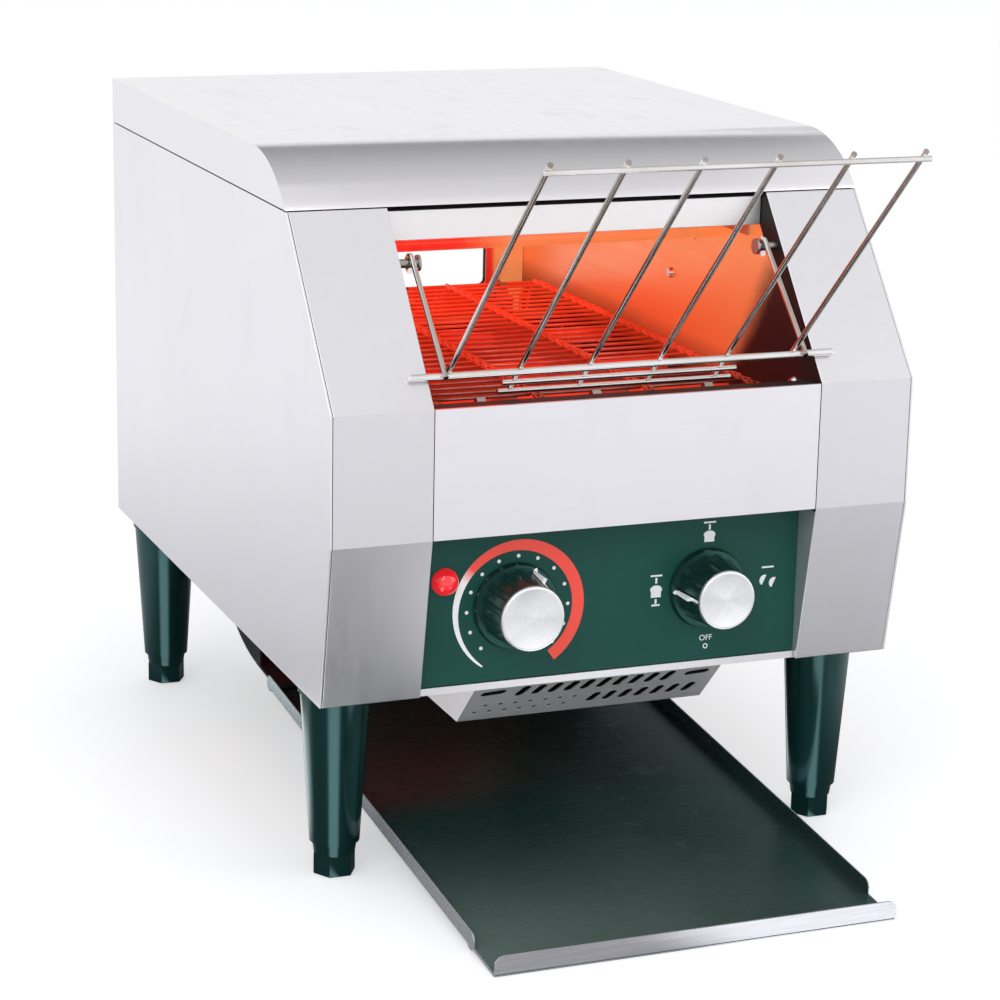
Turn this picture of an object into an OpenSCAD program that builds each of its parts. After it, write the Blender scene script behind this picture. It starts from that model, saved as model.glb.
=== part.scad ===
// Conveyor toaster, countertop model on four tapered legs.
// Bread slides down the wire rack onto a flat wire belt, passes between two banks of
// heating tubes, drops off the rear end of the belt and slides forward onto the tray.
// X runs to the right, Y to the back and Z up. Sizes are in millimetres.
// Every place is first counted from the front plane (the upright faces of the front
// pillars), and about_origin() then moves it to the middle of the footprint.

/* [Body] */
// Width of the body across the side panels
body_w = 340; // [320:1:380]
// Depth of the body from the front plane to the rear panel
body_d = 450; // [440:1:480]
// Height of the body shell, without its legs
shell_h = 285; // [280:1:300]
// Thickness of the outer and inner sheets
sheet = 1.2; // [0.8:0.1:1.5]
// Height of the lid above its seam
lid_h = 28; // [24:1:32]
// Height of the sloping front, between the seam and the upper knee
slope_h = 94; // [88:1:100]
// Height of the plain front panel, between the two knees
front_h = 71; // [66:1:76]
// How far the seam lies behind the front plane
seam_y = 78; // [65:1:85]
// How far the bottom front edge lies behind the front plane
toe_y = 16; // [6:1:17]
// Clear width between the two front pillars
inlet_w = 226; // [222:1:232]
// Open seam between neighbouring cover sheets
seam_gap = 0.6; // [0.3:0.1:0.9]
// Clearance between sheets that are slid into each other
slip = 0.3; // [0.1:0.1:0.4]

/* [Legs and feet] */
// Height of a leg from the foot to the body
leg_h = 98; // [80:1:120]
// Height of the hexagon of a screw foot
foot_h = 12; // [8:1:16]
// Diameter of a leg at the top
leg_top_d = 41; // [34:1:42]
// Diameter of a leg at the bottom
leg_low_d = 28; // [24:1:32]
// Distance of a leg's axis from the side of the body
leg_inset_x = 22; // [21.5:0.5:25]
// Distance of the front legs' axes behind the front plane
leg_front_y = 56; // [44:1:70]
// Distance of the rear legs' axes from the rear panel
leg_rear_inset = 37; // [30:1:50]
// Width of the foot's hexagon across its flats
foot_af = 21; // [18:1:24]
// Diameter of the studs of legs and feet
stud_d = 10; // [8:1:12]
// How far a foot can be screwed out
foot_travel = 15; // [10:1:20]

/* [Bread rack] */
// Gap between a pillar and the nearest outer wire of the rack
rack_side_gap = 12; // [10:0.5:16]
// Length of the rack from its lower rod to its upper rod
rack_l = 180; // [150:1:200]
// Angle of the rack above the level
rack_tilt = 44; // [35:1:55]
// Diameter of the rack's wires
rack_wire_d = 3; // [2.5:0.1:3.5]
// Diameter of the lower rod
rack_rod_d = 4; // [3.5:0.1:5]
// Length of the lower rod, which lies on the pillars
rack_rod_l = 248; // [240:1:260]
// Number of wires between the outer wires
rack_inner_wires = 4; // [3:1:6]
// How far the inner wires run on past the lower rod
rack_tail = 20; // [12:1:24]
// How far up the slope of the pillars the lower rod rests
rack_seat = 18; // [10:1:25]
// Distance of the hook pegs behind the front plane
peg_y = 63; // [60:1:66]
// Depth of the hook pegs under the seam
peg_drop = 28; // [25:1:31]
// Diameter of the hook pegs
peg_d = 5; // [4:0.5:6]
// Running clearance around pegs and shafts, on the radius
running = 0.05; // [0.02:0.01:0.08]

/* [Conveyor] */
// Pitch of the belt's cross wires
belt_pitch = 12.5; // [11:0.5:13]
// Number of teeth of a belt wheel
belt_teeth = 12; // [10:2:12]
// Least distance from the drive shaft to the chamber's rear wall
belt_rear = 73; // [60:1:85]
// Width of the belt
belt_w = 200; // [190:1:206]
// Diameter of the belt's wires
belt_wire_d = 2; // [1.6:0.1:2.4]
// Depth of the upper run under the upper knee of the front
belt_drop = 9; // [5:1:13]
// Distance of the idler shaft behind the front plane
idler_y = 45; // [42:1:50]
// Number of link lanes across the belt
belt_lanes = 4; // [4:2:6]
// Diameter of the two belt shafts
shaft_d = 10; // [8:1:12]
// Thickness of a belt wheel
wheel_t = 5; // [3:0.5:6]
// Distance of the outer belt wheels from the middle
wheel_x = 68; // [64:1:72]

/* [Heating] */
// Diameter of a heating tube
tube_d = 10; // [8:0.5:12]
// Number of tubes above the belt
upper_tubes = 4; // [3:1:5]
// Number of tubes below the upper run
lower_tubes = 3; // [2:1:3]
// Height of the upper tubes over the belt
tube_over_belt = 66; // [60:1:68]
// Depth of the lower tubes under the upper run
tube_under_belt = 21; // [18:1:23]
// Height of the ceiling reflector over the belt
ceiling_over_belt = 84; // [80:1:86]

/* [Chain drive] */
// Pitch of the drive chain
chain_pitch = 6.35; // [6.35:0.01:6.35]
// Number of teeth of both chain sprockets
chain_teeth = 14; // [12:2:16]
// Number of chain pitches between the sprockets
chain_bays = 16; // [15:1:17]
// Slope of the chain below the level
chain_fall = 35; // [30:1:40]
// Distance of the chain from the outer face of the inner wall
chain_out = 10; // [9:0.5:11]
// Diameter of the gear motor
motor_d = 60; // [50:1:64]

/* [Toast chute and tray] */
// Width of the tray outside
tray_w = 232; // [228:1:236]
// Distance of the tray's rear end in front of the bend of the chute
tray_back = 19.7; // [16:0.1:26]
// How far the tray stands out in front of the front plane
tray_reach = 107.5; // [95:0.5:115]
// Height of the tray's sides
tray_side_h = 8.5; // [6:0.5:12]
// Height of the tray's front lip
tray_lip_h = 11.5; // [8:0.5:14]
// Length without side walls at the front of the tray
tray_open_l = 30; // [20:1:40]
// Height of the tray's rear end over the counter
tray_rear_z = 31; // [26:1:34]
// Space over the tray floor under the mouth of the chute
chute_gap = 1.5; // [1.4:0.1:2.5]
// Radius of the bend of the chute
chute_r = 135; // [130:1:137]
// How far the mouth of the chute covers the tray
chute_lap = 12; // [6:1:13]

/* [Controls] */
// Distance of the control panel behind the front plane
panel_y = 20; // [18:0.5:24]
// Distance of each knob from the middle
knob_x = 57.5; // [54:0.5:60]
// Radius of the skirt of the speed knob
speed_knob_r = 24.5; // [20:0.5:26]
// Radius of the skirt of the selector knob
selector_knob_r = 23; // [20:0.5:26]
// Length of a knob in front of the panel
knob_l = 27; // [22:1:30]
// Width of the speed controller
controller_w = 44; // [38:1:48]
// Height of the speed controller
controller_h = 40; // [36:1:46]
// Length of the speed controller behind the panel
controller_l = 34; // [28:1:40]
// Width and height of the selector switch
switch_w = 38; // [34:1:44]
// Length of the selector switch behind the panel
switch_l = 42; // [34:1:46]
// Number of grooves around a knob
knob_flutes = 14; // [10:1:18]
// Diameter of a knob's spindle
spindle_d = 6; // [5:0.5:6.5]
// Distance of the indicator lamp from the middle, to the left
lamp_x = 98.5; // [94:0.5:102]
// Depth of the indicator lamp under the panel's upper edge
lamp_drop = 29; // [24:1:34]
// Radius of the indicator lamp
lamp_r = 7.6; // [6:0.1:8]

/* [Cooling] */
// Half the length of the vent box
vent_x = 75; // [72:1:80]
// Depth of the vent box under the body
vent_drop = 32; // [28:1:36]
// Distance of the top edge of the vent front behind the front plane
vent_y = 28; // [26:1:32]
// Width of the square fan frame
fan_w = 80; // [70:1:84]
// Height of the fan frame
fan_t = 25; // [20:1:26]
// Number of fan blades
fan_blades = 7; // [5:1:9]

/* [Rear] */
// Half the width of the rear window
window_x = 87; // [70:1:90]
// Depth of the lower edge of the rear window under the belt's upper run
window_drop = 15; // [12:1:18]
// Height of the rear window
window_t = 31; // [20:1:34]
// Radius of the cord gland's bore
gland_bore_r = 4; // [3:0.1:5]
// How far the cord gland stands out of the rear panel
gland_out = 12; // [8:1:16]

/* [Hidden] */
$fn = 48;

// Extra length of a cut past the face that it opens
cut = 1;

// Heights over the counter
under_z = foot_h + leg_h;
top_z = under_z + shell_h;
seam_h = shell_h - lid_h;
seam_z = under_z + seam_h;
knee_hi_z = seam_z - slope_h;
knee_lo_z = knee_hi_z - front_h;
floor_z = under_z + sheet;

// Places across the width
half_w = body_w / 2;
side_in_x = half_w - sheet;
inlet_x = inlet_w / 2;
inner_x = inlet_x + sheet;
wall_out_x = inner_x + sheet;
wall_inset = 16;

// Places along the depth
rear_in_y = body_d - sheet;
rear_space = 7;
rear_wall_y = body_d - rear_space;
panel_back_y = panel_y + sheet;
pillar_return = panel_back_y + 2;

// Front slope and the bend of the lid, which is tangent to the slope
slope_a = atan2(seam_z - knee_hi_z, seam_y);
bend_r = (top_z - seam_z) / (1 - cos(slope_a));
bend_y = seam_y + bend_r * sin(slope_a);
flange = 12;

// Bread rack
rack_w = inlet_w - 2 * rack_side_gap;
rack_rod_y = rack_seat * cos(slope_a) - (rack_rod_d / 2 + slip) * sin(slope_a);
rack_rod_z = knee_hi_z + rack_seat * sin(slope_a) + (rack_rod_d / 2 + slip) * cos(slope_a);
weld = 0.4;
rack_rise = (rack_rod_d + rack_wire_d) / 2 - weld;
rack_under = rack_rise - rack_wire_d + weld;
rack_over = 3;
// A point of the rack: u across, v up along the rack and n out of its plane
function rack_point(u, v, n = 0) = [u,
  rack_rod_y - v * cos(rack_tilt) + n * sin(rack_tilt),
  rack_rod_z + v * sin(rack_tilt) + n * cos(rack_tilt)];
peg_z = seam_z - peg_drop;
arm_x = rack_w / 2 + rack_wire_d + 1;
// The flattened wire of a hook is a little thicker than the arm that runs into it
hook_wire_d = rack_wire_d + 0.2;
hook_lap = 0.5;
hook_r = peg_d / 2 + running + hook_wire_d / 2;

// Conveyor: wheel and belt share one pitch circle
belt_r = belt_pitch / (2 * sin(180 / belt_teeth));
belt_z = knee_hi_z - belt_drop;
shaft_z = belt_z - belt_r;
belt_bays = floor((rear_wall_y - belt_rear - idler_y) / belt_pitch + 0.001);
drive_y = idler_y + belt_bays * belt_pitch;
belt_bottom_z = shaft_z - belt_r;
wheel_root_r = belt_r - belt_wire_d / 2 - slip;
tooth_l = belt_wire_d + slip + 1.4;

// Heating
upper_tube_z = belt_z + tube_over_belt;
lower_tube_z = belt_z - tube_under_belt;
ceiling_z = belt_z + ceiling_over_belt;
reflector_z = belt_bottom_z + belt_wire_d / 2 + 5;
cap_l = 12;
cap_d = tube_d + 8;
tube_seat = 6;
tube_fit = 0.2;
upper_front_y = 172;
upper_rear_y = drive_y - 30;
lower_front_y = 120;
lower_rear_y = drive_y - 75;

// Chain drive
chain_r = chain_pitch / (2 * sin(180 / chain_teeth));
chain_x = wall_out_x + chain_out;
chain_span = chain_bays * chain_pitch;
motor_y = drive_y - chain_span * cos(chain_fall);
motor_z = shaft_z - chain_span * sin(chain_fall);
sprocket_t = 2.6;
roller_d = 3.3;
bracket_x = chain_x + 6;
motor_shaft_d = 8;

// Chute and tray
chute_y = rear_wall_y - chute_r;
chute_x = inner_x - slip;
tray_run = chute_y - tray_back + tray_reach;
tray_l = norm([tray_run, tray_rear_z]);
tray_a = atan2(tray_rear_z, tray_run);
tray_t = 1;
chute_front_s = tray_l - chute_lap;
chute_n = tray_t + chute_gap;

// Controls
knob_z = (under_z + knee_lo_z) / 2;
lamp_z = knee_lo_z - lamp_drop;
knob_gap = 0.8;
boss_d = 9.4;
boss_l = 3.5;

// Cooling
fan_y = 122;
fan_bore = fan_w - 4;
vent_slope = vent_drop;
vent_rear_y = 196;
shield_y = 232;
shield_z = knee_lo_z + sheet + slip;

// Rear
window_z = belt_z - window_drop;
gland_x = -(inner_x + side_in_x) / 2;
gland_z = under_z + 44;

// Legs
leg_x = half_w - leg_inset_x;
leg_rear_y = body_d - leg_rear_inset;
stud_up = 14;
stud_fit = 0.08;

// Reach of the whole object, front and rear, whose middle is the origin
front_reach = min(rack_point(0, rack_l, rack_under)[1] - rack_wire_d / 2,
  rack_point(0, rack_l + rack_over, rack_rise - rack_wire_d / 2)[1],
  tray_point(0, tray_lip_h)[1]);
rear_reach = body_d + gland_out;
origin_y = (front_reach + rear_reach) / 2;

module about_origin() {
  translate([0, -origin_y, 0]) children();
}

// Extrudes a drawing in Y and Z along X, from x0 to x1
module along_x(x0, x1) {
  translate([x0, 0, 0])
    rotate([90, 0, 90])
      linear_extrude(x1 - x0) children();
}

// Round rod along X
module rod_x(x0, x1, d, y, z) {
  translate([x0, y, z])
    rotate([0, 90, 0])
      cylinder(d = d, h = x1 - x0);
}

// Turn of a rod about its own axis, so that no seam lies where two rods are welded
rod_turn = 100;

// Round rod from point a to point b
module rod(a, b, d) {
  v = b - a;
  translate(a)
    rotate([0, acos(v[2] / norm(v)), atan2(v[1], v[0])])
      rotate(rod_turn) cylinder(d = d, h = norm(v));
}

// Puts a child at both sides, mirrored
module both_sides() {
  children();
  mirror([1, 0, 0]) children();
}

// Oblong of length l and width w along the drawing's X
module oblong(l, w) {
  square([l - w, w], center = true);
  for (s = [-1, 1])
    translate([s * (l - w) / 2, 0]) circle(d = w, $fn = 24);
}

// Rectangle with round corners
module round_rect(w, h, r) {
  square([w - 2 * r, h], center = true);
  square([w, h - 2 * r], center = true);
  for (sx = [-1, 1], sy = [-1, 1])
    translate([sx * (w / 2 - r), sy * (h / 2 - r)]) circle(r, $fn = 24);
}

// Distance of the front face behind the front plane, at height z on the upper slope
function slope_y(z) = seam_y * (z - knee_hi_z) / (seam_z - knee_hi_z);

// Outline of the body below the seam, seen from the side
module body_outline(rear = body_d) {
  z = seam_z - seam_gap / 2;
  polygon([[toe_y, under_z], [rear, under_z], [rear, z], [slope_y(z), z],
    [0, knee_hi_z], [0, knee_lo_z]]);
}

// Strip of the body outline that follows the front face, with this depth
module front_band(depth) {
  difference() {
    body_outline(body_d / 2);
    translate([depth, -cut]) body_outline(body_d / 2 + cut);
    translate([depth, cut]) body_outline(body_d / 2 + cut);
  }
}

// ---------------------------------------------------------------- covers

module lid_outline(inset, bottom) {
  intersection() {
    translate([bend_y, top_z - bend_r]) circle(bend_r - inset, $fn = 180);
    translate([seam_y - bend_r, bottom]) square([bend_y - seam_y + bend_r, bend_r]);
  }
  translate([bend_y, bottom])
    square([body_d - inset - bend_y, top_z - inset - bottom]);
}

module lid() color("gainsboro") about_origin() {
  bottom = seam_z + seam_gap / 2;
  difference() {
    along_x(-half_w, half_w) lid_outline(0, bottom);
    along_x(-side_in_x, side_in_x) lid_outline(sheet, bottom - cut);
  }
}

module side_panel() {
  along_x(side_in_x, half_w) body_outline();
  // Rear flange that carries the rear panel
  translate([side_in_x - flange, rear_in_y - sheet, floor_z + slip])
    difference() {
      cube([flange, sheet, seam_h - sheet - slip - seam_gap]);
      for (z = rear_screw_heights())
        translate([flange - rear_screw_inset, -cut, z - floor_z - slip])
          rotate([-90, 0, 0]) cylinder(d = screw_d + 0.4, h = sheet + 2 * cut);
    }
}

module side_panel_right() color("silver") about_origin() side_panel();

module side_panel_left() color("silver") about_origin() mirror([1, 0, 0]) side_panel();

// Part of a side drawing that stands on the bottom pan
module over_pan() {
  intersection() {
    children();
    translate([0, floor_z]) square([body_d, top_z - floor_z]);
  }
}

module front_pillar() {
  outer_x = side_in_x - slip;
  difference() {
    union() {
      along_x(inlet_x, outer_x) front_band(sheet);
      along_x(inlet_x, inner_x) over_pan() front_band(pillar_return);
      along_x(outer_x - sheet, outer_x) over_pan() front_band(flange);
    }
    rod_x(inlet_x - cut, inner_x + cut, peg_tail_d + 0.2, peg_y, peg_z);
  }
}

module front_pillar_right() color("lightgray") about_origin() front_pillar();

module front_pillar_left() color("lightgray") about_origin() mirror([1, 0, 0]) front_pillar();

// Plain panel between the two knees, with folded edges
module front_panel() color("gainsboro") about_origin() {
  x = inlet_x - slip;
  low_flange = panel_back_y + 12;
  along_x(-x, x) {
    translate([0, knee_lo_z]) square([sheet, front_h]);
    translate([0, knee_lo_z]) square([low_flange, sheet]);
    translate([0, knee_hi_z - sheet]) square([flange, sheet]);
    translate([flange - sheet, knee_hi_z - 8]) square([sheet, 8]);
  }
}

screw_d = 4;
screw_head_d = 7;
screw_head_h = 2.2;
rear_screw_inset = 6;
function rear_screw_heights() = [under_z + 20, under_z + seam_h / 2, seam_z - 20];

module rear_panel() color("silver") about_origin() {
  x = side_in_x - slip;
  slots = 7;
  slot_step = 11;
  slot_drop = 41;
  difference() {
    translate([-x, rear_in_y, floor_z]) cube([2 * x, sheet, seam_h - sheet - seam_gap]);
    window_cut(rear_in_y);
    translate([gland_x, rear_in_y - cut, gland_z])
      rotate([-90, 0, 0]) cylinder(d = gland_thread_d + 0.4, h = sheet + 2 * cut);
    both_sides()
      for (z = rear_screw_heights())
        translate([side_in_x - rear_screw_inset, rear_in_y - cut, z])
          rotate([-90, 0, 0]) cylinder(d = screw_d + 0.4, h = sheet + 2 * cut);
    // Air slots of the two side compartments
    both_sides()
      for (i = [0:slots - 1])
        translate([(inner_x + side_in_x) / 2, rear_in_y + sheet + cut,
          seam_z - slot_drop - i * slot_step])
          rotate([90, 0, 0]) linear_extrude(sheet + 2 * cut) oblong(32, 4.5);
  }
}

// Cut of the window through a sheet whose front face is at y
module window_cut(y) {
  translate([0, y + sheet + cut, window_z + window_t / 2])
    rotate([90, 0, 0])
      linear_extrude(sheet + 2 * cut) round_rect(2 * window_x, window_t, 4);
}

module bottom_pan() color("darkgray") about_origin() {
  x = side_in_x - slip;
  front_y = panel_y - sheet;
  lip_h = 4;
  difference() {
    union() {
      translate([-x, front_y, under_z])
        cube([2 * x, rear_in_y - slip - front_y, sheet]);
      // Pale lip under the control panel
      translate([-inlet_x + slip, front_y, under_z])
        cube([2 * (inlet_x - slip), sheet, lip_h]);
    }
    // Opening over the chute
    translate([-inner_x, shield_y + flange, under_z - cut])
      cube([2 * inner_x, rear_wall_y - shield_y - flange, sheet + 2 * cut]);
    translate([0, fan_y, under_z - cut]) cylinder(d = fan_bore, h = sheet + 2 * cut);
    for (x = [-leg_x, leg_x], y = [leg_front_y, leg_rear_y])
      translate([x, y, under_z - cut]) cylinder(d = stud_d + 0.6, h = sheet + 2 * cut);
  }
}

module control_panel() color("darkslategray") about_origin() {
  x = inlet_x - slip;
  bottom = under_z + 4 + slip;
  difference() {
    translate([-x, panel_y, bottom]) cube([2 * x, sheet, knee_lo_z - slip - bottom]);
    for (s = [-1, 1])
      translate([s * knob_x, panel_y - cut, knob_z])
        rotate([-90, 0, 0]) cylinder(d = boss_d + 0.4, h = sheet + 2 * cut);
    translate([-lamp_x, panel_y - cut, lamp_z])
      rotate([-90, 0, 0]) cylinder(d = lamp_r * 1.3 + 0.4, h = sheet + 2 * cut);
  }
}

// ---------------------------------------------------------------- toasting chamber

// Pale strip behind the lid's front edge, hung from the ceiling reflector
module inlet_header() color("whitesmoke") about_origin() {
  x = inlet_x - slip;
  y = seam_y + 5;
  top = seam_z - 3;
  along_x(-x, x) {
    translate([y, ceiling_z - slip]) square([sheet, top - ceiling_z + slip]);
    translate([y, top - sheet]) square([26, sheet]);
    translate([y, ceiling_z + sheet]) square([14, sheet]);
  }
}

module ceiling_reflector() color("lightsteelblue") about_origin() {
  x = inner_x - slip;
  y0 = slope_y(ceiling_z + sheet) + pillar_return + slip;
  y1 = rear_wall_y - slip;
  side_h = 9;
  translate([-x, y0, ceiling_z]) cube([2 * x, y1 - y0, sheet]);
  both_sides()
    translate([x - sheet, y0 + 12, ceiling_z - side_h])
      cube([sheet, y1 - y0 - 12, side_h]);
}

function spread(a, b, n) = [for (i = [0:n - 1]) n < 2 ? (a + b) / 2 : a + (b - a) * i / (n - 1)];
upper_ys = spread(upper_front_y, upper_rear_y, upper_tubes);
lower_ys = spread(lower_front_y, lower_rear_y, lower_tubes);

module inner_wall() {
  top = ceiling_z + sheet;
  difference() {
    along_x(inner_x, wall_out_x)
      intersection() {
        translate([wall_inset, 0]) body_outline();
        translate([0, floor_z]) square([rear_wall_y + sheet, top - floor_z]);
      }
    for (y = [idler_y, drive_y])
      rod_x(inner_x - cut, wall_out_x + cut, bush_d, y, shaft_z);
    for (y = upper_ys)
      rod_x(inner_x - cut, wall_out_x + cut, tube_d + 1, y, upper_tube_z);
    for (y = lower_ys)
      rod_x(inner_x - cut, wall_out_x + cut, tube_d + 1, y, lower_tube_z);
    for (p = wall_screws())
      rod_x(inner_x - cut, wall_out_x + cut, screw_d + 0.4, p[0], p[1]);
  }
}

// Screws that hold the inner walls, as places in Y and Z
function wall_screws() = [[idler_y - 9, belt_z + 2], [(idler_y + drive_y) / 2 - 5, belt_z + 35],
  [drive_y + 20, belt_z + 35]];

module inner_wall_right() color("dimgray") about_origin() inner_wall();

module inner_wall_left() color("dimgray") about_origin() mirror([1, 0, 0]) inner_wall();

module chamber_rear_wall() color("slategray") about_origin() {
  x = inner_x - slip;
  bottom = chute_top_z() - 40;
  difference() {
    translate([-x, rear_wall_y, bottom]) cube([2 * x, sheet, ceiling_z + sheet - bottom]);
    window_cut(rear_wall_y);
  }
}

// Shallow trough under the lower tubes, between the two runs of the belt
module lower_reflector() color("lightsteelblue") about_origin() {
  x = inner_x - slip;
  wheel_clear = 8;
  y0 = idler_y + belt_r + wheel_clear;
  y1 = drive_y - belt_r - wheel_clear;
  along_x(-x, x) {
    translate([y0, reflector_z]) square([y1 - y0, sheet]);
    translate([y0, reflector_z]) square([sheet, 10]);
    translate([y1 - sheet, reflector_z]) square([sheet, 10]);
  }
}

// Plate between the hot chamber and the control box
module heat_shield() color("gray") about_origin() {
  x = inner_x - slip;
  y0 = panel_back_y + 4;
  along_x(-x, x) {
    translate([y0, shield_z]) square([shield_y - y0, sheet]);
    translate([shield_y - sheet, floor_z]) square([sheet, shield_z - floor_z + sheet]);
    translate([shield_y - sheet, floor_z]) square([10, sheet]);
  }
}

module tube_row(ys, z) {
  x = wall_out_x + tube_seat;
  for (y = ys) rod_x(-x, x, tube_d, y, z);
}

module upper_heaters() color("orangered") about_origin() tube_row(upper_ys, upper_tube_z);

module lower_heaters() color("orangered") about_origin() tube_row(lower_ys, lower_tube_z);

// Ceramic cap that holds one end of a tube outside the inner wall
module tube_cap(y, z) {
  difference() {
    rod_x(wall_out_x, wall_out_x + cap_l, cap_d, y, z);
    rod_x(wall_out_x - cut, wall_out_x + tube_seat + tube_fit, tube_d + 2 * tube_fit, y, z);
  }
}

module heater_caps() color("ivory") about_origin() both_sides() {
  for (y = upper_ys) tube_cap(y, upper_tube_z);
  for (y = lower_ys) tube_cap(y, lower_tube_z);
}

// ---------------------------------------------------------------- conveyor

// Place of cross wire i on the belt's loop, in Y and Z: the upper run, the wrap
// around the drive wheels, the lower run and the wrap around the idler wheels
belt_wrap = belt_teeth / 2;
belt_count = 2 * (belt_bays + belt_wrap);
function belt_point(i) =
  i < belt_bays ? [idler_y + i * belt_pitch, belt_z] :
  i < belt_bays + belt_wrap ? wheel_point(drive_y, 90 - (i - belt_bays) * 360 / belt_teeth) :
  i < 2 * belt_bays + belt_wrap
    ? [drive_y - (i - belt_bays - belt_wrap) * belt_pitch, belt_bottom_z] :
  wheel_point(idler_y, 270 - (i - 2 * belt_bays - belt_wrap) * 360 / belt_teeth);
function wheel_point(y, a) = [y + belt_r * cos(a), shaft_z + belt_r * sin(a)];

// Closed strip of width w around both wheels, on the pitch line
module belt_loop(w) {
  difference() {
    belt_oval(belt_r + w / 2);
    belt_oval(belt_r - w / 2);
  }
}

module belt_oval(r) {
  translate([idler_y, shaft_z - r]) square([drive_y - idler_y, 2 * r]);
  for (y = [idler_y, drive_y])
    translate([y, shaft_z]) circle(r, $fn = 96);
}

module conveyor_belt() color("firebrick") about_origin() {
  lane_t = 1.2;
  lane_step = (belt_w - lane_t) / (belt_lanes - 1);
  for (i = [0:belt_count - 1])
    rod_x(-belt_w / 2, belt_w / 2, belt_wire_d, belt_point(i)[0], belt_point(i)[1], $fn = 8);
  for (i = [0:belt_lanes - 1]) {
    x = -belt_w / 2 + i * lane_step;
    along_x(x, x + lane_t) belt_loop(belt_wire_d * 0.6);
  }
}

// Upright strips under the upper run, standing on the lower reflector
module belt_rails() color("gray") about_origin() {
  rail_x = 34;
  y0 = idler_y + belt_r + 14;
  y1 = drive_y - belt_r - 14;
  z0 = reflector_z + sheet;
  z1 = belt_z - belt_wire_d / 2 - slip;
  difference() {
    for (x = [-rail_x, rail_x])
      along_x(x - sheet / 2, x + sheet / 2)
        translate([y0, z0]) square([y1 - y0, z1 - z0]);
    for (y = lower_ys)
      rod_x(-rail_x - 2 * cut, rail_x + 2 * cut, tube_d + 0.6, y, lower_tube_z);
  }
}

// Outline of a belt wheel: each tooth stands between two cross wires
function tooth_points(i) = let (a = (i + 0.5) * 360 / belt_teeth, tip = wheel_root_r + tooth_l)
  [for (p = [[-11.5, wheel_root_r], [-10, wheel_root_r], [-4.5, tip], [4.5, tip],
      [10, wheel_root_r], [11.5, wheel_root_r]])
    [p[1] * cos(a + p[0]), p[1] * sin(a + p[0])]];

// Toothed wheel around the X axis
module belt_wheel() {
  hub_d = shaft_d + 10;
  difference() {
    union() {
      along_x(-wheel_t / 2, wheel_t / 2)
        polygon([for (i = [0:belt_teeth - 1]) each tooth_points(i)]);
      rod_x(-wheel_t, wheel_t, hub_d, 0, 0);
    }
    rod_x(-wheel_t - cut, wheel_t + cut, shaft_d + 2 * press_fit, 0, 0);
    // Round windows that lighten the wheel
    for (i = [0:5])
      rotate([i * 60, 0, 0])
        rod_x(-wheel_t, wheel_t, 5, 0, (hub_d / 2 + wheel_root_r) / 2);
  }
}

press_fit = 0.02;

module wheel_set(y) {
  for (x = [-wheel_x, 0, wheel_x])
    translate([x, y, shaft_z]) belt_wheel();
}

module drive_wheels() color("steelblue") about_origin() wheel_set(drive_y);

module idler_wheels() color("steelblue") about_origin() wheel_set(idler_y);

bush_d = shaft_d + 6;
bush_flange_d = shaft_d + 12;
bush_l = 6;

module drive_shaft() color("lightgray") about_origin() {
  rod_x(-wall_out_x - bush_l, chain_x + sprocket_t + 3, shaft_d, drive_y, shaft_z);
}

module idler_shaft() color("lightgray") about_origin() {
  rod_x(-wall_out_x - bush_l, wall_out_x + bush_l, shaft_d, idler_y, shaft_z);
}

// Flanged bush in the inner wall
module shaft_bushes() color("goldenrod") about_origin() both_sides()
  for (y = [idler_y, drive_y])
    difference() {
      union() {
        rod_x(inner_x - 1, wall_out_x + 0.1, bush_d - 0.1, y, shaft_z);
        rod_x(wall_out_x, wall_out_x + bush_l, bush_flange_d, y, shaft_z);
      }
      rod_x(inner_x - 1 - cut, wall_out_x + bush_l + cut, shaft_d + 2 * running, y, shaft_z);
    }

// ---------------------------------------------------------------- chain drive

// Chain sprocket around the X axis, with a round seat for each roller
module chain_sprocket(bore) {
  seat_d = roller_d + 0.4;
  tip_r = chain_r + roller_d * 0.05;
  difference() {
    union() {
      translate([-sprocket_t / 2, 0, 0]) rotate([0, 90, 0])
        cylinder(r = tip_r, h = sprocket_t, $fn = 72);
      translate([-sprocket_t / 2 - 2.4, 0, 0]) rotate([0, 90, 0])
        cylinder(d = bore + 8, h = sprocket_t + 2.4);
    }
    for (i = [0:chain_teeth - 1])
      rotate([i * 360 / chain_teeth, 0, 0])
        rod_x(-sprocket_t / 2 - cut, sprocket_t / 2 + cut, seat_d, 0, chain_r, $fn = 24);
    rod_x(-sprocket_t - 3, sprocket_t + cut, bore, 0, 0);
  }
}

// Turns and moves a child from the line between the two sprockets
module chain_frame() {
  translate([chain_x, drive_y, shaft_z])
    rotate([-(180 - chain_fall), 0, 0]) children();
}

module driven_sprocket() color("dimgray") about_origin()
  chain_frame() chain_sprocket(shaft_d + 2 * press_fit);

module motor_sprocket() color("dimgray") about_origin()
  chain_frame() translate([0, chain_span, 0]) chain_sprocket(motor_shaft_d + 2 * press_fit);

// Place of chain roller i, on a line from the driven sprocket along +Y
chain_wrap = chain_teeth / 2;
chain_count = 2 * (chain_bays + chain_wrap);
function chain_point(i) =
  i < chain_bays ? [i * chain_pitch, chain_r] :
  i < chain_bays + chain_wrap
    ? [chain_span + chain_r * cos(90 - (i - chain_bays) * 360 / chain_teeth),
       chain_r * sin(90 - (i - chain_bays) * 360 / chain_teeth)] :
  i < 2 * chain_bays + chain_wrap
    ? [chain_span - (i - chain_bays - chain_wrap) * chain_pitch, -chain_r] :
  [chain_r * cos(270 - (i - 2 * chain_bays - chain_wrap) * 360 / chain_teeth),
   chain_r * sin(270 - (i - 2 * chain_bays - chain_wrap) * 360 / chain_teeth)];

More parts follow.
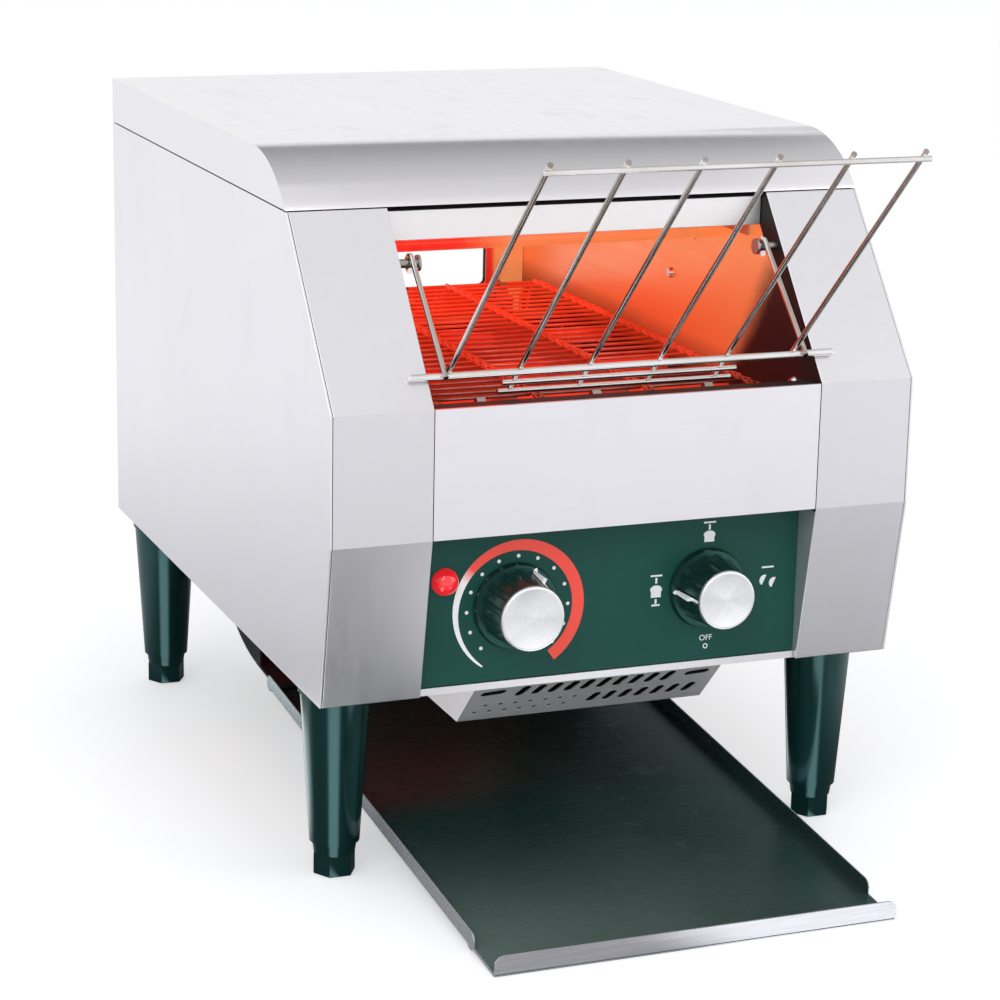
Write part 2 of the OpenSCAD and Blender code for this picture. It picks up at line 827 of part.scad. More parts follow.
module chain_oval(r) {
  translate([0, -r]) square([chain_span, 2 * r]);
  for (y = [0, chain_span])
    translate([y, 0]) circle(r, $fn = 72);
}

// Rollers between two rows of side plates
module drive_chain() color("black") about_origin() chain_frame() {
  plate_t = 0.8;
  inner = sprocket_t / 2 + 0.3;
  for (i = [0:chain_count - 1])
    rod_x(-inner - plate_t, inner + plate_t, roller_d, chain_point(i)[0], chain_point(i)[1],
      $fn = 8);
  for (x = [-inner - plate_t, inner])
    along_x(x, x + plate_t)
      difference() {
        chain_oval(chain_r + roller_d * 0.75);
        chain_oval(chain_r - roller_d * 0.75);
      }
}

motor_boss_d = 18;
motor_boss_l = 4;

module motor_shaft() color("lightgray") about_origin()
  rod_x(chain_x - sprocket_t / 2 - 4, bracket_x + sheet + 10, motor_shaft_d, motor_y, motor_z);

// Flat gearbox with the round motor behind it
module gearmotor() color("darkgray") about_origin() {
  x0 = bracket_x + sheet;
  gear_l = 18;
  can_l = side_in_x - 3 - x0 - gear_l;
  difference() {
    union() {
      rod_x(x0, x0 + gear_l, motor_d, motor_y, motor_z);
      rod_x(x0 + gear_l, x0 + gear_l + can_l, motor_d * 0.8, motor_y, motor_z);
      rod_x(bracket_x - motor_boss_l + sheet, x0, motor_boss_d, motor_y, motor_z);
    }
    rod_x(bracket_x - motor_boss_l - cut, x0 + 12, motor_shaft_d + 2 * running,
      motor_y, motor_z);
  }
}

// Bridge that holds the motor clear of the chain
module motor_bracket() color("silver") about_origin() {
  half_h = motor_d / 2 + 6;
  y0 = motor_y - motor_d / 2;
  leg_y1 = motor_y + 6;
  difference() {
    union() {
      translate([bracket_x, y0, motor_z - half_h])
        cube([sheet, motor_d / 2 + 12, 2 * half_h]);
      for (z = [-half_h, half_h - sheet])
        translate([wall_out_x, y0, motor_z + z])
          cube([bracket_x - wall_out_x + cut / 2, leg_y1 - y0, sheet]);
      for (z = [-half_h, half_h - flange])
        translate([wall_out_x, y0, motor_z + z]) cube([sheet, leg_y1 - y0, flange]);
    }
    rod_x(bracket_x - cut, bracket_x + sheet + cut, motor_boss_d + 0.4, motor_y, motor_z);
  }
}

// ---------------------------------------------------------------- chute and tray

// Frame of the tray: Y runs up the slope from the front lip
module tray_frame() {
  translate([0, -tray_reach, 0])
    rotate([tray_a, 0, 0]) children();
}

// A point of the tray frame, in Y and Z of the body
function tray_point(s, n) = [-tray_reach + s * cos(tray_a) - n * sin(tray_a),
  s * sin(tray_a) + n * cos(tray_a)];

// The bend's outer face meets the mouth in a tangent. The mouth plate is thicker by
// mouth_step on each face, and the bend runs mouth_weld into it.
mouth_step = 0.2;
mouth_weld = 1;
bend_n = chute_n + mouth_step;
chute_tangent_y = chute_y + chute_r * sin(tray_a);
chute_s = (chute_tangent_y + tray_reach + bend_n * sin(tray_a)) / cos(tray_a);
chute_z = tray_point(chute_s, bend_n)[1] + chute_r * cos(tray_a);
function chute_top_z() = chute_z + 34;

module chute_bend(r) {
  translate([chute_y, chute_z]) circle(r, $fn = 180);
}

// Quarter of the plane that the bend fills, from its mouth to the upright part
module chute_quarter() {
  far = 2 * chute_r;
  a = tray_a - mouth_weld / chute_r * 180 / PI;
  polygon([[chute_y, chute_z], [chute_y + far, chute_z], [chute_y + far, chute_z - far],
    [chute_y + far * sin(a), chute_z - far * cos(a)]]);
}

module toast_chute() color("dimgray") about_origin() {
  cheek_top = under_z + 26;
  cheek_front_y = chute_tangent_y - 8;
  along_x(-chute_x, chute_x) {
    intersection() {
      difference() {
        chute_bend(chute_r);
        chute_bend(chute_r - sheet);
      }
      chute_quarter();
    }
    translate([rear_wall_y - sheet, chute_z]) square([sheet, chute_top_z() - chute_z]);
    translate([-tray_reach, 0]) rotate(tray_a)
      translate([chute_front_s, chute_n])
        square([chute_s - chute_front_s, sheet + 2 * mouth_step]);
  }
  // Side cheeks, riveted to the inner walls
  both_sides()
    along_x(chute_x - sheet, chute_x)
      intersection() {
        union() {
          chute_bend(chute_r);
          translate([chute_y, chute_z]) square([chute_r, chute_r]);
        }
        translate([cheek_front_y, 0]) square([body_d, cheek_top]);
      }
}

// Folded strip under the chute that carries the rear end of the tray
module tray_ledge() color("dimgray") about_origin() {
  end_clear = 8;
  x = chute_x - end_clear;
  shelf_l = 14;
  under = slip + sheet;
  tray_frame() along_x(-x, x) {
    translate([tray_l + slip + sheet - shelf_l, -under]) square([shelf_l, sheet]);
    translate([tray_l + slip, -under]) square([sheet, chute_n + under]);
    translate([tray_l + slip, chute_n - sheet]) square([18, sheet]);
  }
}

module tray() color("darkslategray") about_origin() tray_frame() {
  half = tray_w / 2;
  r = tray_side_h * 0.6;
  translate([-half, 0, 0]) cube([tray_w, tray_l, tray_t]);
  // Front lip with round upper corners
  translate([0, tray_t, 0]) rotate([90, 0, 0]) linear_extrude(tray_t) {
    translate([-half, 0]) square([tray_w, tray_lip_h - r]);
    translate([-half + r, 0]) square([tray_w - 2 * r, tray_lip_h]);
    for (s = [-1, 1])
      translate([s * (half - r), tray_lip_h - r]) circle(r, $fn = 32);
  }
  // Side walls, round at both ends
  both_sides()
    along_x(half - tray_t, half) {
      translate([tray_open_l, 0]) square([tray_l - tray_open_l, tray_side_h - r]);
      translate([tray_open_l + r, 0]) square([tray_l - tray_open_l - 2 * r, tray_side_h]);
      for (y = [tray_open_l + r, tray_l - r])
        translate([y, tray_side_h - r]) circle(r, $fn = 32);
    }
}

// ---------------------------------------------------------------- bread rack

module loading_rack() color("whitesmoke") about_origin() {
  half = rack_w / 2;
  bay = rack_w / (rack_inner_wires + 1);
  rise = rack_rise;
  under = rack_under;
  end_l = 1;
  // Lower rod with bevelled ends, across both pillars
  rod_x(-rack_rod_l / 2 + end_l, rack_rod_l / 2 - end_l, rack_rod_d, rack_rod_y, rack_rod_z);
  for (s = [-1, 1])
    translate([s * (rack_rod_l / 2 - end_l), rack_rod_y, rack_rod_z])
      rotate([0, s * 90, 0]) cylinder(d1 = rack_rod_d, d2 = rack_rod_d - 1.6, h = end_l);
  // Upper rod under the wires
  rod(rack_point(-half - rack_over, rack_l, under), rack_point(half + rack_over, rack_l, under),
    rack_wire_d);
  both_sides() {
    rod(rack_point(half, -rack_over, rise), rack_point(half, rack_l + rack_over, rise),
      rack_wire_d);
    rack_arm(arm_x, rise);
  }
  for (i = [1:rack_inner_wires])
    rod(rack_point(-half + i * bay, -rack_tail - rack_over, rise),
      rack_point(-half + i * bay, rack_l + rack_over, rise), rack_wire_d);
  // Two short rods under the bread's lower edge
  for (v = [-rack_tail, -rack_tail / 2 - 1])
    rod(rack_point(-half + bay - 8, v, under), rack_point(half - bay + 8, v, under),
      rack_wire_d);
}

// Arm from the lower rod back to its peg, on the tangent of both, with a hook
module rack_arm(x, rise) {
  dy = peg_y - rack_rod_y;
  dz = peg_z - rack_rod_z;
  a = atan2(dz, dy) - asin((rise - hook_r) / norm([dy, dz]));
  hook_a = 230;
  start = [x, rack_rod_y - rise * sin(a) - rack_over * cos(a),
    rack_rod_z + rise * cos(a) - rack_over * sin(a)];
  end = [x, peg_y - hook_r * sin(a) + hook_lap * cos(a),
    peg_z + hook_r * cos(a) + hook_lap * sin(a)];
  rod(start, end, rack_wire_d);
  translate([x, peg_y, peg_z])
    rotate([90, 0, 90]) rotate(a + 90 - hook_a)
      rotate_extrude(angle = hook_a) translate([hook_r, 0]) circle(d = hook_wire_d, $fn = 24);
}

peg_tail_d = 4;

module rack_pegs() color("lightgray") about_origin() both_sides() {
  tip_x = arm_x - rack_wire_d / 2 - 2.2;
  rod_x(tip_x, inlet_x, peg_d, peg_y, peg_z);
  rod_x(tip_x - 1.4, tip_x, peg_d + 4, peg_y, peg_z);
  rod_x(inlet_x, inner_x, peg_tail_d, peg_y, peg_z);
  rod_x(inner_x, inner_x + 1.4, peg_tail_d + 2.6, peg_y, peg_z);
}

// ---------------------------------------------------------------- vent box and fan

module vent_outline(inset) {
  y0 = vent_y + inset;
  polygon([[y0, under_z + (inset > 0 ? cut : 0)], [y0 + vent_slope, under_z - vent_drop + inset],
    [vent_rear_y - inset, under_z - vent_drop + inset],
    [vent_rear_y - inset, under_z + (inset > 0 ? cut : 0)]]);
}

// Air holes of the sloping front, drawn on its face: X across, Y up the slope
module vent_holes() {
  slots = 10;
  step = 9.8;
  up = vent_drop * sqrt(2);
  slot_w = 5.4;
  lean = -22;
  for (i = [0:slots - 1])
    translate([(i - (slots - 1) / 2) * step, up * 0.68]) rotate(90 + lean) oblong(12.5, slot_w);
  for (s = [-1, 1])
    translate([s * (vent_x - 13), up * 0.7]) rotate(6) oblong(15, 5.6);
  for (i = [0:6])
    translate([4 + i * step, up * 0.3]) rotate(90 + lean) oblong(11.5, slot_w);
  for (i = [0:6], row = [0, 1])
    translate([-vent_x + 8 + i * 9 + row * 4.5, up * (0.2 + row * 0.17)]) circle(d = 3, $fn = 20);
}

module vent_box() color("lightgray") about_origin() {
  difference() {
    union() {
      along_x(-vent_x, vent_x) vent_outline(0);
      // Flange against the bottom pan
      translate([-vent_x - 8, vent_y + 12, under_z - sheet])
        cube([2 * vent_x + 16, vent_rear_y - vent_y - 12 + 8, sheet]);
    }
    along_x(-vent_x + sheet, vent_x - sheet) vent_outline(sheet);
    translate([0, vent_y + vent_slope, under_z - vent_drop])
      rotate([45 + 90, 0, 0]) mirror([0, 0, 1]) translate([0, 0, -2 * sheet - cut])
        linear_extrude(4 * sheet + cut) vent_holes();
  }
}

fan_hub_d = 30;
fan_pin_d = 4;

// Square frame with the fixed motor hub on three struts
module fan_frame() color("black") about_origin() translate([0, fan_y, floor_z]) {
  hole_at = fan_w / 2 - 5;
  strut_h = 5;
  difference() {
    translate([-fan_w / 2, -fan_w / 2, 0]) cube([fan_w, fan_w, fan_t]);
    translate([0, 0, -cut]) cylinder(d = fan_bore, h = fan_t + 2 * cut, $fn = 72);
    for (x = [-hole_at, hole_at], y = [-hole_at, hole_at])
      translate([x, y, -cut]) cylinder(d = 4.4, h = fan_t + 2 * cut, $fn = 24);
  }
  difference() {
    union() {
      cylinder(d = fan_hub_d, h = strut_h);
      intersection() {
        for (a = [30, 150, 270])
          rotate(a) translate([0, -2, 0]) cube([fan_w, 4, strut_h]);
        cylinder(d = fan_bore + 1, h = strut_h, $fn = 72);
      }
    }
    translate([0, 0, 1]) cylinder(d = fan_pin_d + 2 * running, h = strut_h);
  }
}

module fan_rotor() color("dimgray") about_origin() translate([0, fan_y, floor_z]) {
  z0 = 5 + slip;
  blade_h = fan_t - z0 - 2;
  cylinder_r = fan_bore / 2 - 2;
  translate([0, 0, 1 + slip]) cylinder(d = fan_pin_d, h = z0);
  translate([0, 0, z0]) cylinder(d = fan_hub_d, h = blade_h);
  intersection() {
    for (i = [0:fan_blades - 1])
      rotate(i * 360 / fan_blades)
        translate([fan_hub_d / 2 - 2, 0, z0 + blade_h / 2])
          rotate([38, 0, 0]) translate([0, -11, -0.8]) cube([fan_w / 2, 22, 1.6]);
    translate([0, 0, z0]) cylinder(r = cylinder_r, h = blade_h, $fn = 72);
  }
}

// ---------------------------------------------------------------- controls

// Puts a child on the control panel at x and z: its Z axis points out to the front
module on_panel(x, z) {
  translate([x, panel_y, z]) rotate([90, 0, 0]) children();
}

// Knob with its spindle: skirt, grooved body and a recess for the cap
module knob(skirt_r) {
  body_r = skirt_r - 4;
  top_r = skirt_r - 6;
  cap_t = 1.6;
  skirt_t = 3;
  difference() {
    union() {
      translate([0, 0, knob_gap]) cylinder(r1 = skirt_r, r2 = skirt_r - 1, h = skirt_t);
      translate([0, 0, knob_gap + skirt_t])
        cylinder(r1 = body_r, r2 = top_r, h = knob_l - skirt_t - knob_gap - cap_t);
    }
    for (i = [0:knob_flutes - 1])
      rotate((i + 0.5) * 360 / knob_flutes)
        translate([body_r + 1.3, 0, knob_gap + skirt_t])
          rotate([0, -atan2(body_r - top_r, knob_l - skirt_t), 0])
            cylinder(d = 5, h = knob_l, $fn = 20);
    // Room for the nut of the spindle's boss
    translate([0, 0, -cut]) cylinder(d = boss_d + 8, h = boss_l + cut + 2);
    translate([0, 0, 0]) cylinder(d = spindle_d + 2 * press_fit, h = 14);
  }
  translate([0, 0, -22]) cylinder(d = spindle_d, h = 22 + 14);
  // Raised pointer along the side of the body
  translate([-0.9, body_r - 3, knob_gap + skirt_t]) cube([1.8, 4.4, knob_l * 0.55]);
}

module knob_cap(skirt_r) {
  cap_t = 1.6;
  translate([0, 0, knob_l - cap_t])
    cylinder(r1 = skirt_r - 6.2, r2 = skirt_r - 6.8, h = cap_t, $fn = 64);
}

speed_pointer = 27;
selector_pointer = -90;

module speed_knob() color("darkslategray") about_origin()
  on_panel(-knob_x, knob_z) rotate(-speed_pointer) knob(speed_knob_r);

module speed_knob_cap() color("gainsboro") about_origin()
  on_panel(-knob_x, knob_z) knob_cap(speed_knob_r);

module selector_knob() color("darkslategray") about_origin()
  on_panel(knob_x, knob_z) rotate(-selector_pointer) knob(selector_knob_r);

module selector_knob_cap() color("gainsboro") about_origin()
  on_panel(knob_x, knob_z) knob_cap(selector_knob_r);

// Fixed half of a rotary control: boss with nut, body and two rows of tags
module rotary_body(w, h, l) {
  difference() {
    union() {
      translate([0, 0, -sheet]) cylinder(d = boss_d, h = sheet + boss_l);
      cylinder(d = boss_d + 5, h = 2, $fn = 6);
      translate([-w / 2, -h / 2, -sheet - l]) cube([w, h, l]);
      for (x = [-w / 3, 0, w / 3], s = [-1, 1])
        translate([x - 2, s * (h / 2 - 2) - 0.4, -sheet - l - 6]) cube([4, 0.8, 7]);
    }
    translate([0, 0, -24]) cylinder(d = spindle_d + 2 * running, h = 24 + boss_l + cut);
  }
}

module speed_controller() color("tan") about_origin()
  on_panel(-knob_x, knob_z) rotary_body(controller_w, controller_h, controller_l);

module selector_switch() color("beige") about_origin()
  on_panel(knob_x, knob_z) rotary_body(switch_w, switch_w, switch_l);

module lamp_lens() color("red") about_origin() on_panel(-lamp_x, lamp_z) {
  rim_t = 1.2;
  dome_h = lamp_r * 0.8;
  dome_r = (lamp_r * lamp_r + dome_h * dome_h) / (2 * dome_h);
  cylinder(r = lamp_r, h = rim_t);
  translate([0, 0, rim_t])
    intersection() {
      translate([0, 0, dome_h - dome_r]) sphere(dome_r);
      cylinder(r = lamp_r, h = dome_h + cut);
    }
  translate([0, 0, -sheet - 1]) cylinder(d = lamp_r * 1.3, h = sheet + 1);
}

module lamp_holder() color("dimgray") about_origin() on_panel(-lamp_x, lamp_z) {
  difference() {
    union() {
      translate([0, 0, -sheet - 5]) cylinder(d = lamp_r * 1.8, h = 5);
      translate([0, 0, -sheet - 24]) cylinder(d = lamp_r * 1.3, h = 20);
      for (x = [-3, 3])
        translate([x - 0.4, -1.5, -sheet - 32]) cube([0.8, 3, 9]);
    }
    translate([0, 0, -sheet - 1 - slip]) cylinder(d = lamp_r * 1.3 + 0.4, h = 2);
  }
}

module terminal_block() color("ivory") about_origin() {
  ways = 5;
  step = 11;
  block_l = 18;
  block_h = 15;
  x0 = (fan_w + step) / 2;
  translate([x0, shield_y - 2 * block_l - 10, floor_z])
    difference() {
      cube([ways * step, block_l, block_h]);
      for (i = [0:ways - 1]) {
        for (y = [5, 13])
          translate([(i + 0.5) * step, y, block_h - 7]) cylinder(d = 5, h = 8, $fn = 20);
        translate([(i + 0.5) * step, -cut, 5])
          rotate([-90, 0, 0]) cylinder(d = 4, h = block_l + 2 * cut, $fn = 20);
      }
    }
}

gland_thread_d = 16;

// Cord gland in the rear panel, with its nut inside
module cord_gland() color("black") about_origin() translate([gland_x, body_d, gland_z])
  rotate([-90, 0, 0])
    difference() {
      union() {
        cylinder(d = 22, h = 5, $fn = 6);
        translate([0, 0, 5]) cylinder(d1 = 19, d2 = 15, h = gland_out - 5);
        translate([0, 0, -sheet - 8]) cylinder(d = gland_thread_d, h = sheet + 9);
        translate([0, 0, -sheet - 5]) cylinder(d = 22, h = 5, $fn = 6);
      }
      translate([0, 0, -sheet - 8 - cut])
        cylinder(r = gland_bore_r, h = gland_out + sheet + 8 + 2 * cut);
    }

// ---------------------------------------------------------------- legs, feet, fasteners

// Tapered leg around the Z axis, with a stud through the bottom pan
module leg() {
  collar_h = 4;
  toe_h = 7;
  difference() {
    union() {
      translate([0, 0, under_z - collar_h]) cylinder(d = leg_top_d, h = collar_h);
      translate([0, 0, foot_h + toe_h])
        cylinder(d1 = leg_low_d, d2 = leg_top_d - 2, h = leg_h - collar_h - toe_h);
      translate([0, 0, foot_h]) cylinder(d1 = leg_low_d - 5, d2 = leg_low_d - 3, h = toe_h);
      translate([0, 0, under_z]) cylinder(d = stud_d, h = stud_up);
    }
    translate([0, 0, foot_h - cut])
      cylinder(d = stud_d + 2 * stud_fit, h = foot_stud_l() + foot_travel);
  }
}

function foot_stud_l() = foot_travel + 20;

module foot() {
  cylinder(d = foot_af / cos(30), h = foot_h - slip / 3, $fn = 6);
  cylinder(d = stud_d, h = foot_h + foot_stud_l());
}

module leg_front_left() color("darkslategray") about_origin() translate([-leg_x, leg_front_y, 0]) leg();

module leg_front_right() color("darkslategray") about_origin() translate([leg_x, leg_front_y, 0]) leg();

module leg_rear_left() color("darkslategray") about_origin() translate([-leg_x, leg_rear_y, 0]) leg();

module leg_rear_right() color("darkslategray") about_origin() translate([leg_x, leg_rear_y, 0]) leg();

module foot_front_left() color("black") about_origin() translate([-leg_x, leg_front_y, 0]) foot();

module foot_front_right() color("black") about_origin() translate([leg_x, leg_front_y, 0]) foot();

module foot_rear_left() color("black") about_origin() translate([-leg_x, leg_rear_y, 0]) foot();

module foot_rear_right() color("black") about_origin() translate([leg_x, leg_rear_y, 0]) foot();

// Pan-head screw whose head lies under z = 0 on its own side: shank up, head down
module screw(l) {
  translate([0, 0, -screw_head_h])
    cylinder(d1 = screw_head_d - 2, d2 = screw_head_d, h = screw_head_h, $fn = 32);
  cylinder(d = screw_d, h = l, $fn = 24);
}

module fasteners() color("gainsboro") about_origin() {
  both_sides() {
    for (z = rear_screw_heights())
      translate([side_in_x - rear_screw_inset, body_d, z]) rotate([90, 0, 0]) screw(8);
    for (p = wall_screws())
      translate([inner_x, p[0], p[1]]) rotate([0, 90, 0]) screw(6);
  }
  // Nuts of the legs, on the bottom pan
  for (x = [-leg_x, leg_x], y = [leg_front_y, leg_rear_y])
    translate([x, y, floor_z])
      difference() {
        cylinder(d = stud_d * 1.9, h = stud_d * 0.8, $fn = 6);
        translate([0, 0, -cut]) cylinder(d = stud_d + 2 * press_fit, h = stud_d + cut);
      }
}

lid();
side_panel_left();
side_panel_right();
front_pillar_left();
front_pillar_right();
front_panel();
rear_panel();
bottom_pan();
control_panel();
inlet_header();
inner_wall_left();
inner_wall_right();
chamber_rear_wall();
ceiling_reflector();
lower_reflector();
heat_shield();
upper_heaters();
lower_heaters();
heater_caps();
conveyor_belt();
belt_rails();
drive_shaft();
drive_wheels();
idler_shaft();
idler_wheels();
shaft_bushes();
driven_sprocket();
drive_chain();
motor_sprocket();
motor_shaft();
gearmotor();
motor_bracket();
toast_chute();
tray_ledge();
tray();
loading_rack();
rack_pegs();
vent_box();
fan_frame();
fan_rotor();
speed_knob();
speed_knob_cap();
speed_controller();
selector_knob();
selector_knob_cap();
selector_switch();
lamp_lens();
lamp_holder();
terminal_block();
cord_gland();
leg_front_left();
leg_front_right();
leg_rear_left();
leg_rear_right();
foot_front_left();
foot_front_right();
foot_rear_left();
foot_rear_right();
fasteners();
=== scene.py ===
"""Looks of the conveyor toaster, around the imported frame. Metres, Z up, front to -Y."""
import bpy
import bmesh
import math
from mathutils import Matrix, Vector


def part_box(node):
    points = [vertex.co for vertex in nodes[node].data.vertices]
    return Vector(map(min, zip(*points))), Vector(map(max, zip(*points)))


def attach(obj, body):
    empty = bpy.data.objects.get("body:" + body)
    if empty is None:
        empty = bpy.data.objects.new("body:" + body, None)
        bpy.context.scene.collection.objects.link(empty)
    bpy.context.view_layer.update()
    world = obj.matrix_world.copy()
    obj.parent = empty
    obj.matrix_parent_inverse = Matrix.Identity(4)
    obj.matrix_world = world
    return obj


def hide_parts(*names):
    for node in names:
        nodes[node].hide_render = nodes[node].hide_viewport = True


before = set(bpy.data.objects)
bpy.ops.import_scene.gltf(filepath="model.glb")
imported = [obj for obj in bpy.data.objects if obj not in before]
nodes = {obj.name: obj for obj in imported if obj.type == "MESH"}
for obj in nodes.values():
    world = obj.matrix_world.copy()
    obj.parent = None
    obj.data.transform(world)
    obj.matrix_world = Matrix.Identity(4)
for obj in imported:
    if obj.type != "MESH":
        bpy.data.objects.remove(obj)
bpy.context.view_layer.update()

# Distance from the front plane of the pillars to the middle of the footprint
ORIGIN_Y = -(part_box("front_pillar_left")[0][1])


def at(x, y, z):
    """Millimetres from the front plane to metres in the frame."""
    return Vector((x / 1000, y / 1000 - ORIGIN_Y, z / 1000))


def behind(y):
    """The frame's Y of a depth in millimetres behind the front plane."""
    return at(0, y, 0)[1]


# The part's places that the looks repeat, in millimetres: the control panel's face and its knobs,
# each with its name, X, pointer angle and skirt radius
PANEL_Y, KNOB_Z, SPEED_X, SELECT_X = 20.0, 156.0, -57.5, 57.5
KNOBS = (("speed", SPEED_X, 27, 24.5), ("selector", SELECT_X, -90, 23.0))

# Slope of the bread rack, its lower rod, and how far up the slope its upper rod is
TILT = math.radians(44)
ROD_Y, ROD_Z, ROD_GAP = 9.7243, 288.3208, 180

# Belt: pitch of the cross wires, pitches along a run and round half a wheel, upper run, shafts
PITCH, BAYS, HALF_TURN = 12.5, 26, 6
STEP = 180 / HALF_TURN
BELT_R = PITCH / (2 * math.sin(math.radians(STEP / 2)))
BELT_Z, IDLER_Y, DRIVE_Y = 264.0, 45.0, 370.0
SHAFT_Z = BELT_Z - BELT_R

# In metres: a pillar's inner edge, its knee and a little over it, its upper bend, and how near the
# lid's outside a face counts as outer
INNER_X, KNEE_Z, OVER_KNEE, BEND_Z = 0.1131, 0.2, 0.202, 0.273
SHEET = 0.0007


# ------------------------------------------------------------------ node helpers

class Tree:
    """Short calls for the nodes of a material or of the world."""

    def __init__(self, owner, coord):
        owner.use_nodes = True
        self.nodes, self.links = owner.node_tree.nodes, owner.node_tree.links
        self.coord = self.node("TexCoord").outputs[coord]

    def put(self, socket, value):
        """Links a socket, or sets it to a number or colour."""
        if isinstance(value, bpy.types.NodeSocket):
            self.links.new(value, socket)
        elif value is not None:
            if socket.type == "RGBA" and len(value) == 3:
                value = (*value, 1.0)
            socket.default_value = value

    def node(self, kind, *values, **props):
        """A node with its properties set and its inputs put in order."""
        n = self.nodes.new("ShaderNode" + kind)
        for k, v in props.items():
            setattr(n, k, v)
        for socket, v in zip(n.inputs, values):
            self.put(socket, v)
        return n

    def fill(self, n, **values):
        """Puts a node's inputs by name, with _ for a space."""
        for k, v in values.items():
            self.put(n.inputs[k.replace("_", " ")], v)
        return n

    def noise(self, scale, detail, rough, stretch=None, distortion=0.0, shift=None):
        """Noise, drawn out along an axis whose stretch is under 1."""
        where = self.coord
        if stretch:
            where = self.node("Mapping", where, shift, None, stretch).outputs["Vector"]
        return self.fill(self.node("TexNoise"), Vector=where, Scale=scale, Detail=detail,
                         Roughness=rough, Distortion=distortion).outputs["Fac"]

    def span(self, value, a, b, lo=0.0, hi=1.0, kind="LINEAR"):
        """Goes from lo to hi as the value goes from a to b."""
        return self.node("MapRange", value, a, b, lo, hi, interpolation_type=kind).outputs[0]

    def ease(self, *values):
        """As span, with a soft start and end."""
        return self.span(*values, kind="SMOOTHSTEP")

    def mix(self, fac, a, b):
        n = self.node("Mix", fac, data_type="RGBA")
        self.put(n.inputs[6], a)
        self.put(n.inputs[7], b)
        return n.outputs[2]

    def vary(self, value, a, b, low=0.3, high=0.7):
        """Colour from a to b as the value goes from low to high."""
        return self.mix(self.span(value, low, high), a, b)

    def axis(self, name, source=None):
        return self.node("SeparateXYZ", source or self.coord).outputs[name]

    def facing(self, name):
        """A component of the surface's normal."""
        return self.axis(name, self.node("NewGeometry").outputs["Normal"])

    def bump(self, height, strength, distance):
        return self.fill(self.node("Bump"), Height=height, Strength=strength,
                         Distance=distance).outputs["Normal"]

    def vector(self, op, *values):
        return self.node("VectorMath", *values, operation=op).outputs

    def math(self, op, a, b=None, clamp=False):
        return self.node("Math", a, b, operation=op, use_clamp=clamp).outputs[0]

    def chain(self, op, values):
        out = values[0]
        for v in values[1:]:
            out = self.math(op, out, v)
        return out

    def times(self, *values):
        return self.chain("MULTIPLY", values)

    def plus(self, *values):
        return self.chain("ADD", values)

    def most(self, *values):
        return self.chain("MAXIMUM", values)

    def minus(self, a, b):
        return self.math("SUBTRACT", a, b)

    def over(self, a, b):
        """1 where a is over b."""
        return self.math("GREATER_THAN", a, b)

    def under(self, a, b):
        """1 where a is under b."""
        return self.math("LESS_THAN", a, b)

    def size(self, a):
        return self.math("ABSOLUTE", a)


class Mat(Tree):
    """A material on the object's own coordinates."""

    def __init__(self, name):
        self.m = bpy.data.materials.new(name)
        super().__init__(self.m, "Object")

    def set(self, **values):
        """Puts the shader's inputs and gives the material."""
        self.fill(self.nodes["Principled BSDF"], **values)
        return self.m


def scaled(c, k):
    return tuple(min(1.0, v * k) for v in c)


# ------------------------------------------------------------------ mesh helpers

def piece(name, me, material, body="body", smooth=True, location=(0, 0, 0)):
    """A new piece of a mesh, riding on a body."""
    me.name = name
    me.materials.clear()
    me.materials.append(material)
    if smooth:
        me.polygons.foreach_set("use_smooth", [True] * len(me.polygons))
    o = bpy.data.objects.new(name, me)
    bpy.context.scene.collection.objects.link(o)
    o.location = location
    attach(o, body)
    return o


def add_mesh(name, verts, faces, *args, **kwargs):
    """A new piece of points and faces."""
    me = bpy.data.meshes.new(name)
    me.from_pydata([tuple(v) for v in verts], [], faces)
    me.validate()
    return piece(name, me, *args, **kwargs)


def mend(o, merge=False, triangles=False, crease=None):
    """Turns a piece's faces outward. Where asked, merges doubled points, cuts up faces of many
    corners, and keeps edges over an angle crisp."""
    bm = bmesh.new()
    bm.from_mesh(o.data)
    if merge:
        bmesh.ops.remove_doubles(bm, verts=bm.verts, dist=1e-7)
    bmesh.ops.recalc_face_normals(bm, faces=bm.faces)
    if triangles:
        bmesh.ops.triangulate(bm, faces=[f for f in bm.faces if len(f.verts) > 4])
    if crease:
        bm.normal_update()
        for e in bm.edges:
            if len(e.link_faces) == 2:
                e.smooth = e.calc_face_angle(0) < math.radians(crease)
    bm.to_mesh(o.data)
    bm.free()


def wires(name, paths, radius, material, resolution):
    """Round wires along lists of points, as one mesh."""
    cu = bpy.data.curves.new(name, "CURVE")
    cu.dimensions = "3D"
    cu.bevel_depth = radius
    cu.bevel_resolution = resolution
    cu.use_fill_caps = True
    for path in paths:
        sp = cu.splines.new("POLY")
        sp.points.add(len(path) - 1)
        for p, v in zip(sp.points, path):
            p.co = (*v, 1)
    tmp = bpy.data.objects.new(name + "_curve", cu)
    bpy.context.scene.collection.objects.link(tmp)
    me = bpy.data.meshes.new_from_object(tmp.evaluated_get(bpy.context.evaluated_depsgraph_get()))
    bpy.data.objects.remove(tmp)
    bpy.data.curves.remove(cu)
    return piece(name, me, material)


def crisp(name):
    """Rolled edges on a sheet part, so that its folds catch the light."""
    o = nodes[name]
    w = o.modifiers.new("weld", "WELD")
    w.merge_threshold = 1e-6
    b = o.modifiers.new("fold", "BEVEL")
    b.width = 0.0004
    b.segments = 2
    b.limit_method = "ANGLE"
    b.angle_limit = math.radians(40)
    b.use_clamp_overlap = True
    b.harden_normals = False


# ------------------------------------------------------------------ sheet metal

GRAIN = {"X": (0.02, 1, 1), "Y": (1, 0.02, 1), "Z": (1, 1, 0.02)}


